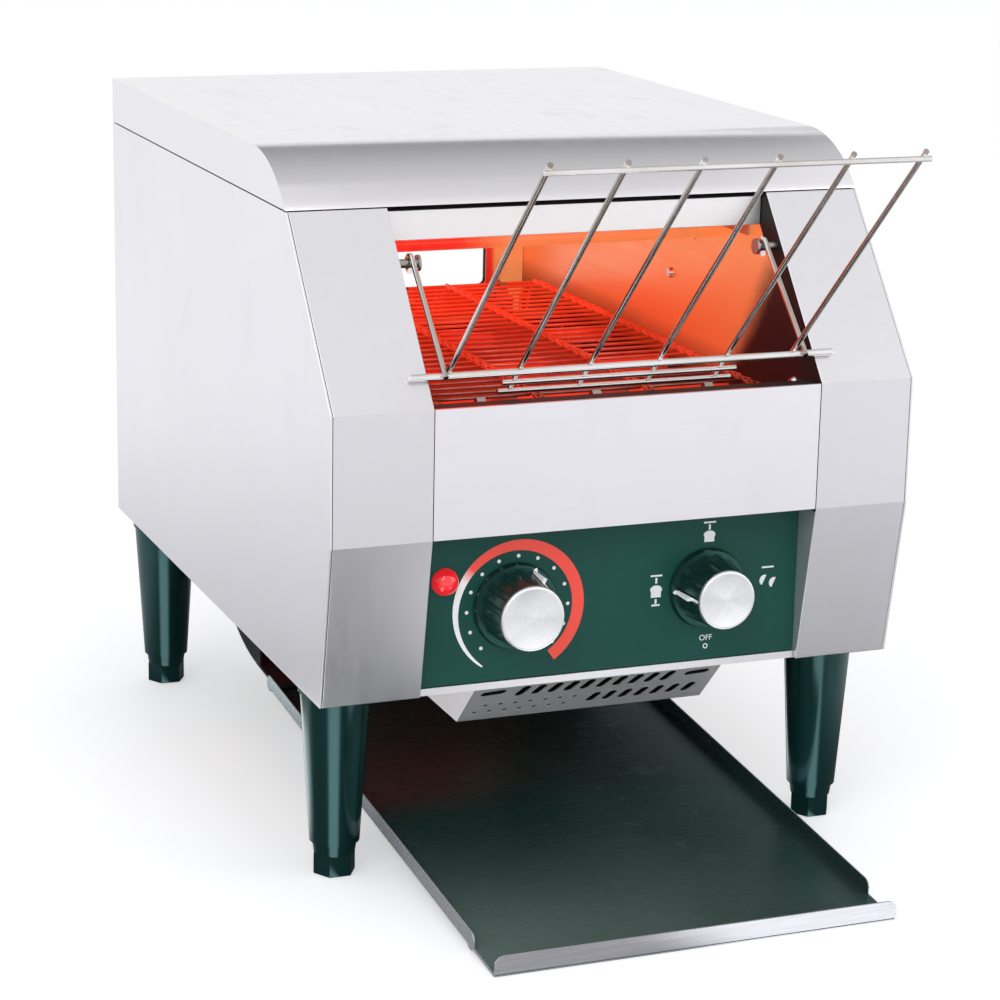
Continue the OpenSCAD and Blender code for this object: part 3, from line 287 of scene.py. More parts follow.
def brushed(name, base, rough, grain, contrast, metallic=1.0, shade_inside=None, painted_shade=None, matt=None):
    """Ground stainless sheet: fine scratches along one axis, faint smudges and cloudy tone.
    shade_inside(m) gives 1 on inner faces, which get painted shade, near black; painted_shade(m) 1 on faces
    that get painted shade, a darker copy of the colour;
    and matt(m) what a face loses of its metallic gloss."""
    m = Mat(name)
    lines = m.noise(1400, 3, 0.6, GRAIN[grain])
    broad = m.noise(200, 2, 0.5, GRAIN[grain], shift=(3.1, 1.7, 0.4))
    cloud = m.noise(9, 3, 0.5)
    marks = m.noise(38, 4, 0.62, (1, 1, 0.45), 0.6)
    ground = m.plus(m.times(lines, 0.65), m.times(broad, 0.35))
    light = m.vary(ground, scaled(base, 1 - contrast), scaled(base, 1 + contrast))
    tone = m.vary(cloud, scaled(base, 0.97), scaled(base, 1.02), 0.35)
    stain = m.span(marks, 0.55, 0.78)
    colour = m.mix(m.times(stain, 0.08), m.mix(0.35, light, tone), scaled(base, 0.80))
    r = m.plus(m.span(ground, 0.25, 0.75, rough - 0.05, rough + 0.06), m.times(stain, 0.06))
    # Painted shade: the faces given are darkened towards 0.8 of the colour
    if painted_shade:
        colour = m.mix(painted_shade(m), colour, scaled(base, 0.8))
    if matt:
        metallic = m.minus(metallic, matt(m))
    # Painted shade on inner faces: near black, not metallic and rougher
    if shade_inside:
        painted_shade_mask = shade_inside(m)
        colour = m.mix(painted_shade_mask, colour, m.vary(marks, (0.010, 0.010, 0.010), (0.026, 0.024, 0.023)))
        metallic = m.minus(metallic, m.times(painted_shade_mask, metallic))
        r = m.plus(r, m.times(painted_shade_mask, 0.2))
        m.set(Specular_IOR_Level=0.2)
    return m.set(Base_Color=colour, Metallic=metallic, Roughness=r, Normal=m.bump(ground, 0.12, 0.00002))


def under_lid(m):
    """1 on the inner faces of the lid, which look down, back or inward."""
    x, y, z = (m.facing(name) for name in "XYZ")
    side_x, rear_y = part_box("lid")[1][:2]
    rear = m.over(m.axis("Y"), rear_y - SHEET)
    side = m.over(m.size(m.axis("X")), side_x - SHEET)
    back = m.times(m.over(y, 0.25), m.minus(1.0, rear))
    turned = m.times(m.over(m.size(x), 0.7), m.minus(1.0, side))
    return m.most(m.under(z, -0.25), back, turned)


def in_pillars(m):
    """1 on the return faces of the pillars."""
    return m.under(m.size(m.axis("X")), INNER_X)


def pillar_inside(m):
    """1 on the return face of a pillar beside the mouth."""
    return m.times(in_pillars(m), m.over(m.axis("Z"), KNEE_Z))


def pillar_turn(m):
    """What the return face beside the control panel loses of its gloss."""
    return m.times(in_pillars(m), m.under(m.axis("Z"), KNEE_Z), 0.3)


def pillar_painted_shade(m):
    """Painted shade: the upright face at half strength and, on the left, the face that leans in below it at
    three quarters are painted darker.
    """
    x, z = m.axis("X"), m.axis("Z")
    low = m.under(z, OVER_KNEE)
    leaning = m.times(low, m.under(x, 0.0), 0.75)
    return m.plus(leaning, m.times(m.under(z, BEND_Z), m.minus(1.0, low), 0.5))


def in_vent(m):
    """1 on the inner faces of the vent box, which follow its outline one sheet further in."""
    x, y, z = (m.axis(name) for name in "XYZ")
    slope = m.plus(m.minus(y, behind(28)), m.minus(z, 0.110))
    return m.times(m.over(slope, 0.0008), m.over(z, 0.0786), m.under(m.size(x), 0.0744),
                   m.under(y, behind(195.4)))


def deeper_than(y):
    """1 further back than a depth in millimetres."""
    return lambda m: m.over(m.axis("Y"), behind(y))


cover = brushed("cover_steel", (0.86, 0.85, 0.885), 0.36, "Z", 0.022)
# Painted shade: the inner faces of the lid, front panel, pillars, pan and vent box are painted near black,
# and faces of the pillars darker
lid_steel = brushed("lid_steel", (0.84, 0.825, 0.86), 0.21, "Y", 0.015, shade_inside=under_lid)
front_steel = brushed("front_steel", (0.83, 0.81, 0.855), 0.36, "X", 0.02, shade_inside=deeper_than(2))
pillar_steel = brushed("pillar_steel", (0.81, 0.80, 0.835), 0.36, "Z", 0.022, shade_inside=pillar_inside,
                       painted_shade=pillar_painted_shade, matt=pillar_turn)
plain = brushed("plain_steel", (0.66, 0.65, 0.67), 0.38, "X", 0.06)
pan_steel = brushed("pan_steel", (0.86, 0.85, 0.88), 0.42, "X", 0.02, shade_inside=deeper_than(40))
peg_steel = brushed("peg_steel", (0.40, 0.36, 0.34), 0.30, "X", 0.08)
header_steel = brushed("header_steel", (0.93, 0.90, 0.91), 0.45, "X", 0.02)
bright = brushed("bright_steel", (0.74, 0.73, 0.72), 0.22, "X", 0.06)
vent_steel = brushed("vent_steel", (0.95, 0.92, 0.93), 0.42, "X", 0.05, metallic=0.5, shade_inside=in_vent)
bronze = brushed("bronze", (0.55, 0.34, 0.15), 0.35, "X", 0.08)


def hot_sheet(name, dark, light, glow_a, glow_b, strength, across, lit):
    """Heat-tinted sheet that glows back the tubes' light, from glow_a to glow_b across X.
    lit is the normal's component and sign on the side that faces the tubes."""
    m = Mat(name)
    n = m.noise(14, 4, 0.55)
    streak = m.noise(300, 3, 0.6, (0.03, 1, 1))
    spots = m.noise(55, 3, 0.6)
    right = m.ease(m.plus(m.axis("X"), m.times(n, 0.006)), *across)
    glow = m.mix(right, glow_a, glow_b)
    glow = m.mix(m.times(m.span(spots, 0.35, 0.7), 0.22), glow, (0.45, 0.02, 0.01))
    glow = m.mix(m.over(m.times(m.facing(lit[0]), lit[1]), 0.1), (0, 0, 0), glow)
    return m.set(Base_Color=m.vary(n, dark, light, high=0.75), Metallic=0.85,
                 Roughness=m.span(m.plus(n, streak), 0.6, 1.4, 0.34, 0.5),
                 Normal=m.bump(streak, 0.1, 0.00003), Emission_Color=glow, Emission_Strength=strength)


def dark_sheet(name, base, rough, wear=(0.16, 0.16, 0.16)):
    """Blackened sheet or casting, with a fine tooth and rubbed lines of wear."""
    m = Mat(name)
    n = m.noise(60, 4, 0.6)
    scratch = m.noise(220, 5, 0.7, (1, 0.08, 1))
    rubbed = m.times(m.span(scratch, 0.66, 0.76), 0.5)
    colour = m.vary(n, scaled(base, 0.8), scaled(base, 1.25), high=0.75)
    return m.set(Base_Color=m.mix(rubbed, colour, wear), Metallic=0.15, Specular_IOR_Level=0.25,
                 Roughness=m.span(n, 0.3, 0.7, rough - 0.06, rough + 0.08),
                 Normal=m.bump(m.noise(900, 2, 0.5), 0.15, 0.00003))


CHAMBER = ((0.50, 0.36, 0.33), (0.66, 0.54, 0.50), (0.75, 0.03, 0.015), (0.80, 0.06, 0.03))
ceiling_steel = hot_sheet("ceiling_steel", *CHAMBER, 0.12, (-0.05, 0.05), ("Z", -1.0))
chamber_steel = hot_sheet("chamber_steel", *CHAMBER, 0.22, (-0.05, 0.05), ("Z", 1.0))
rear_steel = hot_sheet("rear_wall_steel", (0.40, 0.16, 0.12), (0.52, 0.26, 0.21), (0.80, 0.010, 0.008),
                       (0.95, 0.33, 0.105), 0.66, (0.0935, 0.0975), ("Y", -1.0))
dark_steel = dark_sheet("dark_steel", (0.018, 0.018, 0.02), 0.42)
motor_grey = dark_sheet("motor_casting", (0.09, 0.095, 0.10), 0.45, (0.3, 0.3, 0.3))


def tray_steel():
    """Tray sheet: polished inside, painted dark green as a reflection of the dark body over it and painted
    lighter towards its front and left as a reflection; lighter ground steel on the outer faces and the lip.
    """
    m = Mat("tray_steel")
    x, y, z = (m.axis(name) for name in "XYZ")
    lo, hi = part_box("tray")
    # Height over the tray's floor, which rises 31 mm to the back on its slope of 397 mm
    height = m.minus(z, m.times(m.minus(y, lo[1]), math.tan(math.asin(31 / 397))))
    inside = m.times(m.under(m.size(x), hi[0] - 0.0006), m.over(y, lo[1] + 0.0008), m.over(height, 0.0006))
    line = m.noise(900, 3, 0.6, (0.03, 1, 1))
    cloud = m.noise(11, 3, 0.5)
    marks = m.noise(70, 4, 0.65, None, 0.5)
    # Painted reflection: the inside is dark green, for the dark body over it, in soft clouds
    deep = m.vary(cloud, (0.013, 0.037, 0.033), (0.026, 0.056, 0.050))
    # Painted reflection: lighter towards the front of the inside, most on the left
    near = m.times(m.ease(y, lo[1] + 0.01, lo[1] + 0.17, 1.0, 0.0), m.span(x, -0.12, 0.10, 1.0, 0.1))
    deep = m.mix(near, deep, (0.125, 0.175, 0.155))
    deep = m.mix(m.times(m.span(marks, 0.6, 0.78), 0.15), deep, (0.10, 0.14, 0.13))
    light = m.vary(line, (0.58, 0.57, 0.61), (0.68, 0.67, 0.71))
    rough = m.plus(m.span(line, 0.3, 0.7, 0.20, 0.30), m.times(m.span(marks, 0.55, 0.8), 0.1))
    return m.set(Base_Color=m.mix(inside, light, deep), Metallic=m.minus(0.45, m.times(inside, 0.30)),
                 Roughness=rough, Normal=m.bump(line, 0.06, 0.00002),
                 Specular_IOR_Level=0.18, Specular_Tint=(0.5, 1.0, 0.95))


def side_wall_steel():
    """Inner walls: painted shade, near black, by the mouth and under the belt; heat-tinted brown further in,
    where the tubes' light is painted on as a glow.
    """
    m = Mat("inner_wall_steel")
    y, z = m.axis("Y"), m.axis("Z")
    n = m.noise(16, 4, 0.6)
    streak = m.noise(300, 3, 0.6, (1, 0.03, 1))
    # Painted shade: dark before a line that leans back as it falls from the mouth, and under the belt
    line = m.minus(m.plus(y, m.times(n, 0.03)), m.times(m.minus(0.345, z), 0.8))
    inner = m.under(m.size(m.axis("X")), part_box("inner_wall_right")[0][0] + 0.0004)
    depth = m.times(m.ease(line, behind(50), behind(84)), m.span(z, 0.245, 0.268), inner)
    # Painted light: further in, the walls glow with the tubes' light, redder low and more orange higher up
    high = m.span(m.plus(z, m.times(n, 0.03)), 0.27, 0.345)
    glow = m.mix(high, (0.85, 0.10, 0.025), (0.95, 0.27, 0.075))
    return m.set(Base_Color=m.mix(depth, (0.012, 0.012, 0.013), (0.50, 0.31, 0.19)),
                 Metallic=m.times(depth, 0.8), Roughness=m.span(m.plus(n, streak), 0.6, 1.4, 0.30, 0.46),
                 Normal=m.bump(streak, 0.1, 0.00003), Specular_IOR_Level=0.25,
                 Emission_Color=m.mix(depth, (0.0, 0.0, 0.0), glow), Emission_Strength=0.55)


tray_mat = tray_steel()
wall_steel = side_wall_steel()

# ------------------------------------------------------------------ plastic, enamel, print and lamp


def moulded(name, base, rough, coat, coat_rough=0.08, gloss=0.5, tint=(1, 1, 1)):
    """Moulded plastic: even colour, soft flow marks and fine handling scratches."""
    m = Mat(name)
    flow = m.noise(30, 3, 0.5, (1, 1, 0.4))
    scratch = m.noise(700, 4, 0.7, (1, 1, 0.06))
    return m.set(Base_Color=m.vary(flow, scaled(base, 0.85), scaled(base, 1.18)),
                 Roughness=m.plus(m.span(flow, 0.3, 0.7, rough - 0.03, rough + 0.04),
                                  m.span(scratch, 0.6, 0.8, 0.0, 0.10)),
                 Normal=m.bump(scratch, 0.06, 0.00002), Coat_Weight=coat, Coat_Roughness=coat_rough,
                 Specular_IOR_Level=gloss, Specular_Tint=tint)


def enamel():
    """Baked dark green enamel with a faint orange-peel surface and a little dust."""
    m = Mat("panel_green")
    base = (0.006, 0.083, 0.066)
    broad = m.noise(18, 3, 0.5)
    dust = m.times(m.span(m.noise(1500, 1, 0.4), 0.74, 0.8), 0.12)
    colour = m.vary(broad, scaled(base, 0.92), scaled(base, 1.08))
    return m.set(Base_Color=m.mix(dust, colour, (0.3, 0.33, 0.33)), Specular_IOR_Level=0.28,
                 Roughness=m.span(broad, 0.3, 0.7, 0.38, 0.47),
                 Normal=m.bump(m.noise(420, 2, 0.5), 0.12, 0.00004))


def white_ink():
    m = Mat("ink_white")
    base = (0.86, 0.88, 0.88)
    ink = m.vary(m.noise(900, 2, 0.5), scaled(base, 0.9), base, 0.35)
    # Painted light: the print glows a little, so that it stays white in shade
    return m.set(Base_Color=ink, Roughness=0.45, Emission_Color=ink, Emission_Strength=0.22)


def ring_ink():
    """Ring of the speed scale: white on the left, turning red towards the top."""
    m = Mat("ink_scale")
    turn = m.math("ARCTAN2", m.minus(m.axis("X"), SPEED_X / 1000), m.minus(m.axis("Z"), KNOB_Z / 1000))
    ink = m.vary(turn, (0.92, 0.94, 0.94), (0.96, 0.085, 0.058), -1.12, -0.84)
    worn = m.mix(0.12, ink, (0.0, 0.0, 0.0))
    # Painted light: the ink glows a little in its own colour
    return m.set(Base_Color=m.vary(m.noise(900, 2, 0.5), ink, worn, 0.35), Roughness=0.42,
                 Emission_Color=ink, Emission_Strength=0.24)


def lamp_red():
    m = Mat("lamp_red")
    n = m.noise(300, 2, 0.5)
    return m.set(Base_Color=m.vary(n, (0.72, 0.010, 0.018), (0.85, 0.016, 0.026)),
                 Roughness=m.span(n, 0.3, 0.7, 0.08, 0.16), Coat_Weight=0.8,
                 Emission_Color=m.vary(n, (1.0, 0.015, 0.02), (1.0, 0.03, 0.04)), Emission_Strength=0.42)


leg_gloss = moulded("leg_gloss", (0.002, 0.020, 0.020), 0.17, 0.15, 0.14, 1.0, (0.42, 0.92, 0.95))
knob_gloss = moulded("knob_plastic", (0.006, 0.024, 0.021), 0.22, 0.12, 0.30, 1.0, (0.35, 1.0, 0.95))
fan_black = moulded("fan_plastic", (0.012, 0.012, 0.013), 0.42, 0.1)
gland_black = moulded("gland_plastic", (0.010, 0.010, 0.010), 0.45, 0.1)
phenolic = moulded("switch_plastic", (0.42, 0.37, 0.27), 0.5, 0.0)
ceramic = moulded("ceramic", (0.78, 0.74, 0.66), 0.32, 0.4)
ink_white = white_ink()
scale_ink = ring_ink()

# ------------------------------------------------------------------ wire, tubes and turned metal


def rack_chrome():
    """Bright plated wire with drawn lines, faint brown heat bloom and weld spots of low shine; the slanted
    wires carry painted shade.
    """
    m = Mat("rack_chrome")
    line = m.noise(900, 3, 0.6, (1, 0.15, 0.15))
    spots = m.span(m.noise(26, 3, 0.6), 0.4, 0.75)
    # Way up the rack's slope from its lower rod. The two long rods keep the bright colour; the slanted wires
    # carry painted shade, a darker copy of it
    up = m.plus(m.times(m.minus(behind(ROD_Y), m.axis("Y")), math.cos(TILT)),
                m.times(m.minus(m.axis("Z"), ROD_Z / 1000), math.sin(TILT)))
    rods = m.most(m.under(m.size(m.minus(up, ROD_GAP / 1000)), 0.0022), m.under(up, 0.0025))
    base = m.mix(rods, m.mix(spots, (0.50, 0.46, 0.43), (0.36, 0.29, 0.24)),
                 m.mix(spots, (0.84, 0.83, 0.83), (0.70, 0.66, 0.62)))
    return m.set(Base_Color=base, Metallic=1.0, Roughness=m.span(line, 0.3, 0.7, 0.12, 0.26),
                 Normal=m.bump(line, 0.08, 0.00002))


def belt_wire():
    """Stainless belt wire, blued and browned by heat, with the tubes' light painted on as a red glow from
    the middle of the run on.
    """
    m = Mat("belt_wire")
    y = m.axis("Y")
    n = m.noise(40, 3, 0.6)
    fine = m.noise(800, 3, 0.6)
    # Painted light: the wire glows with the tubes' light from the middle of the run on, brighter further
    # back
    tube_light = m.ease(m.plus(y, m.times(n, 0.03)), behind(50), behind(170))
    far = m.ease(y, behind(210), behind(290))
    glow = m.mix(far, m.vary(n, (0.42, 0.008, 0.003), (0.50, 0.021, 0.006)), (1.0, 0.035, 0.010))
    return m.set(Base_Color=m.vary(n, (0.22, 0.10, 0.08), (0.42, 0.22, 0.19), high=0.75), Metallic=0.9,
                 Roughness=m.span(fine, 0.3, 0.7, 0.28, 0.45), Normal=m.bump(fine, 0.15, 0.00003),
                 Emission_Color=m.mix(tube_light, (0.02, 0.002, 0.0015), glow), Emission_Strength=0.66)


def quartz(name, strength, hotter):
    """Glowing quartz, deep red at its left end and hotter to the right, by the colour given."""
    m = Mat(name)
    n = m.noise(120, 3, 0.5)
    right = m.ease(m.plus(m.axis("X"), m.times(n, 0.01)), -0.036, 0.0)
    red = m.vary(n, (0.95, 0.018, 0.010), (1.0, 0.035, 0.018))
    return m.set(Base_Color=m.vary(n, (0.60, 0.06, 0.03), (0.70, 0.10, 0.06)), Alpha=0.8,
                 Roughness=m.span(n, 0.3, 0.7, 0.04, 0.12),
                 Emission_Color=m.mix(right, red, hotter), Emission_Strength=strength)


def hot_coil():
    m = Mat("hot_coil")
    n = m.noise(260, 2, 0.5)
    return m.set(Base_Color=m.vary(n, (0.8, 0.25, 0.08), (0.9, 0.35, 0.12)), Roughness=0.5,
                 Emission_Color=m.vary(n, (1.0, 0.13, 0.03), (1.0, 0.20, 0.05)), Emission_Strength=0.9)


def spun_cap():
    """Turned aluminium face: circular tool lines whose gloss runs round with them, and two pairs of grey fan
    shapes painted on as shade of that gloss.
    """
    m = Mat("knob_cap_aluminium")
    x, z = m.axis("X"), m.axis("Z")
    r = m.math("SQRT", m.plus(m.times(x, x), m.times(z, z)))
    tool = m.fill(m.node("TexNoise", noise_dimensions="1D"), W=r, Scale=4200, Detail=3).outputs["Fac"]
    # Painted shade: two pairs of grey fan shapes, where the lathe's lines would turn the gloss away
    turn = m.math("ARCTAN2", z, x)
    wide = m.math("POWER", m.size(m.math("COSINE", m.plus(turn, 0.10))), 9.0)
    thin = m.math("POWER", m.size(m.math("COSINE", m.minus(turn, 0.75))), 30.0)
    painted_fans = m.math("ADD", m.times(wide, 0.75), m.times(thin, 0.4), clamp=True)
    base = m.mix(painted_fans, m.vary(tool, (0.98, 0.98, 1.0), (1.0, 1.0, 1.0)), (0.80, 0.80, 0.83))
    rough = m.span(m.plus(tool, m.times(m.noise(2600, 3, 0.7), 0.2)), 0.4, 0.8, 0.16, 0.28)
    return m.set(Base_Color=base, Metallic=0.7, Roughness=rough, Normal=m.bump(tool, 0.08, 0.00003),
                 Tangent=m.node("Tangent", direction_type="RADIAL", axis="Y").outputs[0], Anisotropic=0.85)


chrome = rack_chrome()
belt_steel = belt_wire()
quartz_glow = quartz("glowing_quartz", 0.42, (1.0, 0.46, 0.15))
quartz_low = quartz("glowing_quartz_low", 0.24, (1.0, 0.05, 0.02))
coil_glow = hot_coil()
cap_alu = spun_cap()

# ------------------------------------------------------------------ finishes of the CAD nodes


def give(material, *names):
    for n in names:
        o = nodes[n]
        o.data.materials.clear()
        o.data.materials.append(material)


give(lid_steel, "lid")
give(cover, "side_panel_left", "side_panel_right", "rear_panel")
give(pillar_steel, "front_pillar_left", "front_pillar_right")
give(front_steel, "front_panel")
give(plain, "motor_bracket")
give(pan_steel, "bottom_pan")
give(header_steel, "inlet_header")
give(vent_steel, "vent_box")
give(wall_steel, "inner_wall_left", "inner_wall_right")
give(ceiling_steel, "ceiling_reflector")
give(chamber_steel, "lower_reflector", "belt_rails")
give(rear_steel, "chamber_rear_wall")
give(dark_steel, "heat_shield", "toast_chute", "tray_ledge", "drive_chain", "driven_sprocket",
     "motor_sprocket")
give(enamel(), "control_panel")
give(quartz_glow, "upper_heaters")
give(quartz_low, "lower_heaters")
give(ceramic, "heater_caps")
give(belt_steel, "conveyor_belt")
give(bright, "motor_shaft", "fasteners")
give(peg_steel, "rack_pegs", "drive_shaft", "idler_shaft", "drive_wheels", "idler_wheels")
give(bronze, "shaft_bushes")
give(motor_grey, "gearmotor")
give(tray_mat, "tray")
give(chrome, "loading_rack")
give(fan_black, "fan_frame", "fan_rotor")
give(knob_gloss, "speed_knob", "selector_knob")
give(cap_alu, "speed_knob_cap", "selector_knob_cap")
give(phenolic, "speed_controller", "selector_switch", "lamp_holder", "terminal_block")
give(lamp_red(), "lamp_lens")
give(gland_black, "cord_gland")
give(leg_gloss, *[n for n in nodes if n.startswith(("leg_", "foot_"))])

for n in ("lid", "side_panel_left", "side_panel_right", "front_pillar_left", "front_pillar_right",
          "front_panel", "inlet_header"):
    crisp(n)

# ------------------------------------------------------------------ print on the control panel

# Thickness of the print, in millimetres
INK = 0.06


def polar(cx, cz, r, degrees):
    """A point at an angle clockwise from the top, in (x, z) millimetres."""
    a = math.radians(degrees)
    return (cx + r * math.sin(a), cz + r * math.cos(a))


def band_mesh(name, cx, cz, outer, start, end, width, material, steps=96):
    """Band of print round a point, whose width(t) changes along it, t from 0 to 1."""
    verts, faces = [], []
    for i in range(steps + 1):
        t = i / steps
        angle = start + (end - start) * i / steps
        rims = [polar(cx, cz, r, angle) for r in (outer, outer - width(t))]
        verts += [at(x, y, z) for y in (PANEL_Y, PANEL_Y - INK) for x, z in rims]
    for i in range(steps):
        a, b = i * 4, i * 4 + 4
        faces += [(a + 2, b + 2, b + 3, a + 3), (a + 1, a + 3, a + 2, a) if i == 0 else (a + 2, b + 2, b, a),
                  (a + 3, a + 1, b + 1, b + 3)]
    return add_mesh(name, verts, faces, material, smooth=False)


def flat_shape(name, outlines):
    """Raised white print: closed outlines of (x, z) in millimetres."""
    verts, faces = [], []
    for outline in outlines:
        b = len(verts)
        n = len(outline)
        for y in (PANEL_Y, PANEL_Y - INK):
            verts += [at(x, y, z) for x, z in outline]
        faces.append(tuple(b + n + i for i in range(n)))
        for i in range(n):
            j = (i + 1) % n
            faces.append((b + i, b + j, b + n + j, b + n + i))
    mend(add_mesh(name, verts, faces, ink_white, smooth=False), triangles=True)


def band_width(t):
    """The scale's band grows from 0.9 to 6.9 mm over its first 62 percent."""
    return 0.9 + 6.0 * min(1.0, t / 0.62) ** 0.8


def dot(cx, cz, r=1.05, corners=18):
    return [polar(cx, cz, r, i * 360 / corners) for i in range(corners)]


band_mesh("speed_scale", SPEED_X + 2.2, KNOB_Z - 1.3, outer=38.4, start=-147, end=146, width=band_width,
          material=scale_ink)
flat_shape("speed_dots", [dot(*polar(SPEED_X + 1.5, KNOB_Z - 1.6, r=29.6, degrees=-135 + 22.5 * i))
                          for i in range(13)])


# The selector's signs, placed from the middle of its knob

def sign(cx, cz, points):
    return [(SELECT_X + cx + x, KNOB_Z + cz + z) for x, z in points]


def bar(cx, cz, w, h):
    return sign(cx, cz, ((-w / 2, -h / 2), (w / 2, -h / 2), (w / 2, h / 2), (-w / 2, h / 2)))


def slice_icon(cx, cz, w, h):
    """Outline of a bread slice: square below, two round shoulders above."""
    turns = [i * math.pi / 14 - 0.3 for i in range(17)]
    arc = [(0.5 * math.cos(a), 0.12 + 0.38 * math.sin(a)) for a in turns]
    pts = [(-0.42, -0.5), (0.42, -0.5), (0.42, -0.04)] + arc[:-1] + [(-0.42, -0.04)]
    return sign(cx, cz, [(w * x, h * z) for x, z in pts])


def bun(cx, cz, w=6.2, h=3.6, tilt=1.15):
    """Half a bun on its side: flat below, domed above."""
    turns = [i * math.pi / 10 for i in range(11)]
    pts = [(0.5 * math.cos(a), -0.3 + 0.8 * math.sin(a)) for a in turns]
    c, s = math.cos(tilt), math.sin(tilt)
    return sign(cx, cz, [(w * x * c - h * z * s, w * x * s + h * z * c) for x, z in pts])


flat_shape("selector_icons", [
    # Top: heat from above only
    bar(0.5, 37.6, 7.4, 1.0), bar(0.5, 34.9, 1.2, 3.0), slice_icon(0.5, 29.6, 7.2, 6.4),
    # Left: heat on both sides
    bar(-31, 9.4, 7.0, 1.0), bar(-31, 6.6, 1.2, 3.2), slice_icon(-31, 0.4, 7.2, 7.0),
    bar(-31, -5.4, 1.2, 2.6), bar(-31, -7.6, 5.0, 1.0),
    # Right: two bun halves
    bar(37.5, 8.6, 7.4, 1.0), bun(34.6, 1.6), bun(40.6, -0.2)])
band_mesh("selector_off_ring", SELECT_X + 0.5, KNOB_Z - 34.2, outer=1.5, start=0, end=360,
          width=lambda t: 0.55, material=ink_white, steps=24)


def words(name, text, cx, cz, height):
    cu = bpy.data.curves.new(name, "FONT")
    cu.body = text
    cu.align_x = "CENTER"
    cu.align_y = "CENTER"
    cu.size = height / 1000
    cu.extrude = INK / 2000
    tmp = bpy.data.objects.new(name + "_text", cu)
    bpy.context.scene.collection.objects.link(tmp)
    tmp.rotation_euler = (math.pi / 2, 0, 0)
    tmp.location = at(cx, PANEL_Y - INK / 2, cz)
    bpy.context.view_layer.update()
    me = bpy.data.meshes.new_from_object(tmp.evaluated_get(bpy.context.evaluated_depsgraph_get()))
    me.transform(tmp.matrix_world)
    bpy.data.objects.remove(tmp)
    piece(name, me, ink_white, smooth=False)


words("selector_off_word", "OFF", SELECT_X + 0.5, KNOB_Z - 29.4, 4.6)

# ------------------------------------------------------------------ pointers of the knobs


def knob_ribbon(name, cx, degrees, profile, body):
    """White paint along a knob: (radius, height from the panel, half width, depth of its sides)."""
    a = math.radians(degrees)
    radial = Vector((math.sin(a), 0, math.cos(a)))
    side = Vector((math.cos(a), 0, -math.sin(a)))
    base = at(cx, PANEL_Y, KNOB_Z)
    verts, faces = [], []
    for r, h, w, deep in profile:
        p = base + Vector((0, -h, 0)) / 1000
        for s, d in ((-w, deep), (-w, 0), (w, 0), (w, deep)):
            verts.append(p + (radial * (r - d) + side * s) / 1000)
    for i in range(len(profile) - 1):
        for k in range(3):
            faces.append((4 * i + k, 4 * i + k + 1, 4 * i + k + 5, 4 * i + k + 4))
    add_mesh(name, verts, faces, ink_white, body, smooth=False)


# How far the grip stands in from the skirt, its height over the skirt and what it narrows by, how
# far its pointer ridge stands out, and half the width of the line
GRIP_IN, SKIRT_TOP, GRIP_H, NARROWING, RIDGE, LINE = 4, 3.8, 21.6, 2, 1.46, 0.97


def grip(skirt, h):
    """Radius a hair outside the grip at a height from the panel."""
    return skirt - GRIP_IN - NARROWING * (h - SKIRT_TOP) / GRIP_H + INK


for knob, cx, angle, skirt in KNOBS:
    ridge = skirt - GRIP_IN + RIDGE
    knob_ribbon(knob + "_pointer_line", cx, angle,
                [(grip(skirt, 3.9), 3.86, LINE, 0), (ridge, 3.88, LINE, 1.3), (ridge, 18.7, LINE, 2.6),
                 (grip(skirt, 18.8), 18.76, 0.9, 0), (grip(skirt, 25.2), 25.2, 0.7, 0)], knob + "_dial")
    knob_ribbon(knob + "_pointer_mark", cx, angle,
                [(skirt - 0.6, 3.84, 0.3, 0), (ridge + 0.1, 3.86, 1.5, 0)], knob + "_dial")

# ------------------------------------------------------------------ conveyor belt


def on_wheel(shaft_y, degrees):
    a = math.radians(degrees)
    out = Vector((0, math.cos(a), math.sin(a)))
    return Vector((0, shaft_y + BELT_R * math.cos(a), SHAFT_Z + BELT_R * math.sin(a))), out


def belt_place(i):
    """Centre of cross wire i, and the outward normal there, in the side view."""
    i %= 2 * (BAYS + HALF_TURN)
    if i < BAYS:
        return Vector((0, IDLER_Y + i * PITCH, BELT_Z)), Vector((0, 0, 1))
    i -= BAYS
    if i < HALF_TURN:
        return on_wheel(DRIVE_Y, 90 - i * STEP)
    i -= HALF_TURN
    if i < BAYS:
        return Vector((0, DRIVE_Y - i * PITCH, SHAFT_Z - BELT_R)), Vector((0, 0, -1))
    return on_wheel(IDLER_Y, 270 - (i - BAYS) * STEP)


belt_paths = []
for i in range(2 * (BAYS + HALF_TURN)):
    p, n = belt_place(i)
    q, nq = belt_place(i + 1)
    step = q - p
    d = step.normalized()
    path = []
    # In each lane the wire turns forward, goes over the next wire and back under it
    for lane in (-95.0, -33.1, 33.1, 95.0):
        hook = [(-3.6, p), (-2.9, p + step * 0.18), (-2.5, p + step * 0.72 + n * 0.5),
                (-1.7, q + d * 1.1 + nq * 0.9), (0, q + d * 1.9 + nq * 0.2),
                (1.7, q + d * 1.1 - nq * 0.7), (2.5, p + step * 0.72 - n * 0.4),
                (2.9, p + step * 0.18), (3.6, p)]
        path += [at(lane + x, v.y, v.z) for x, v in hook]
    belt_paths.append(path)
belt_piece = wires("conveyor_belt_wires", belt_paths, radius=0.00095, material=belt_steel, resolution=2)
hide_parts("conveyor_belt")

# ------------------------------------------------------------------ heating tubes

# Half length, outer and inner radius of a tube; half length, radius, turns and points a turn of
# its coil; and where the coil's straight ends begin and stop
TUBE_X, TUBE_R, BORE_R = 121.3, 5.0, 4.1
COIL_X, COIL_R, TURNS, PER_TURN = 108, 3, 54, 10
LEAD_X, LEAD_END_X = 108.5, 120.5


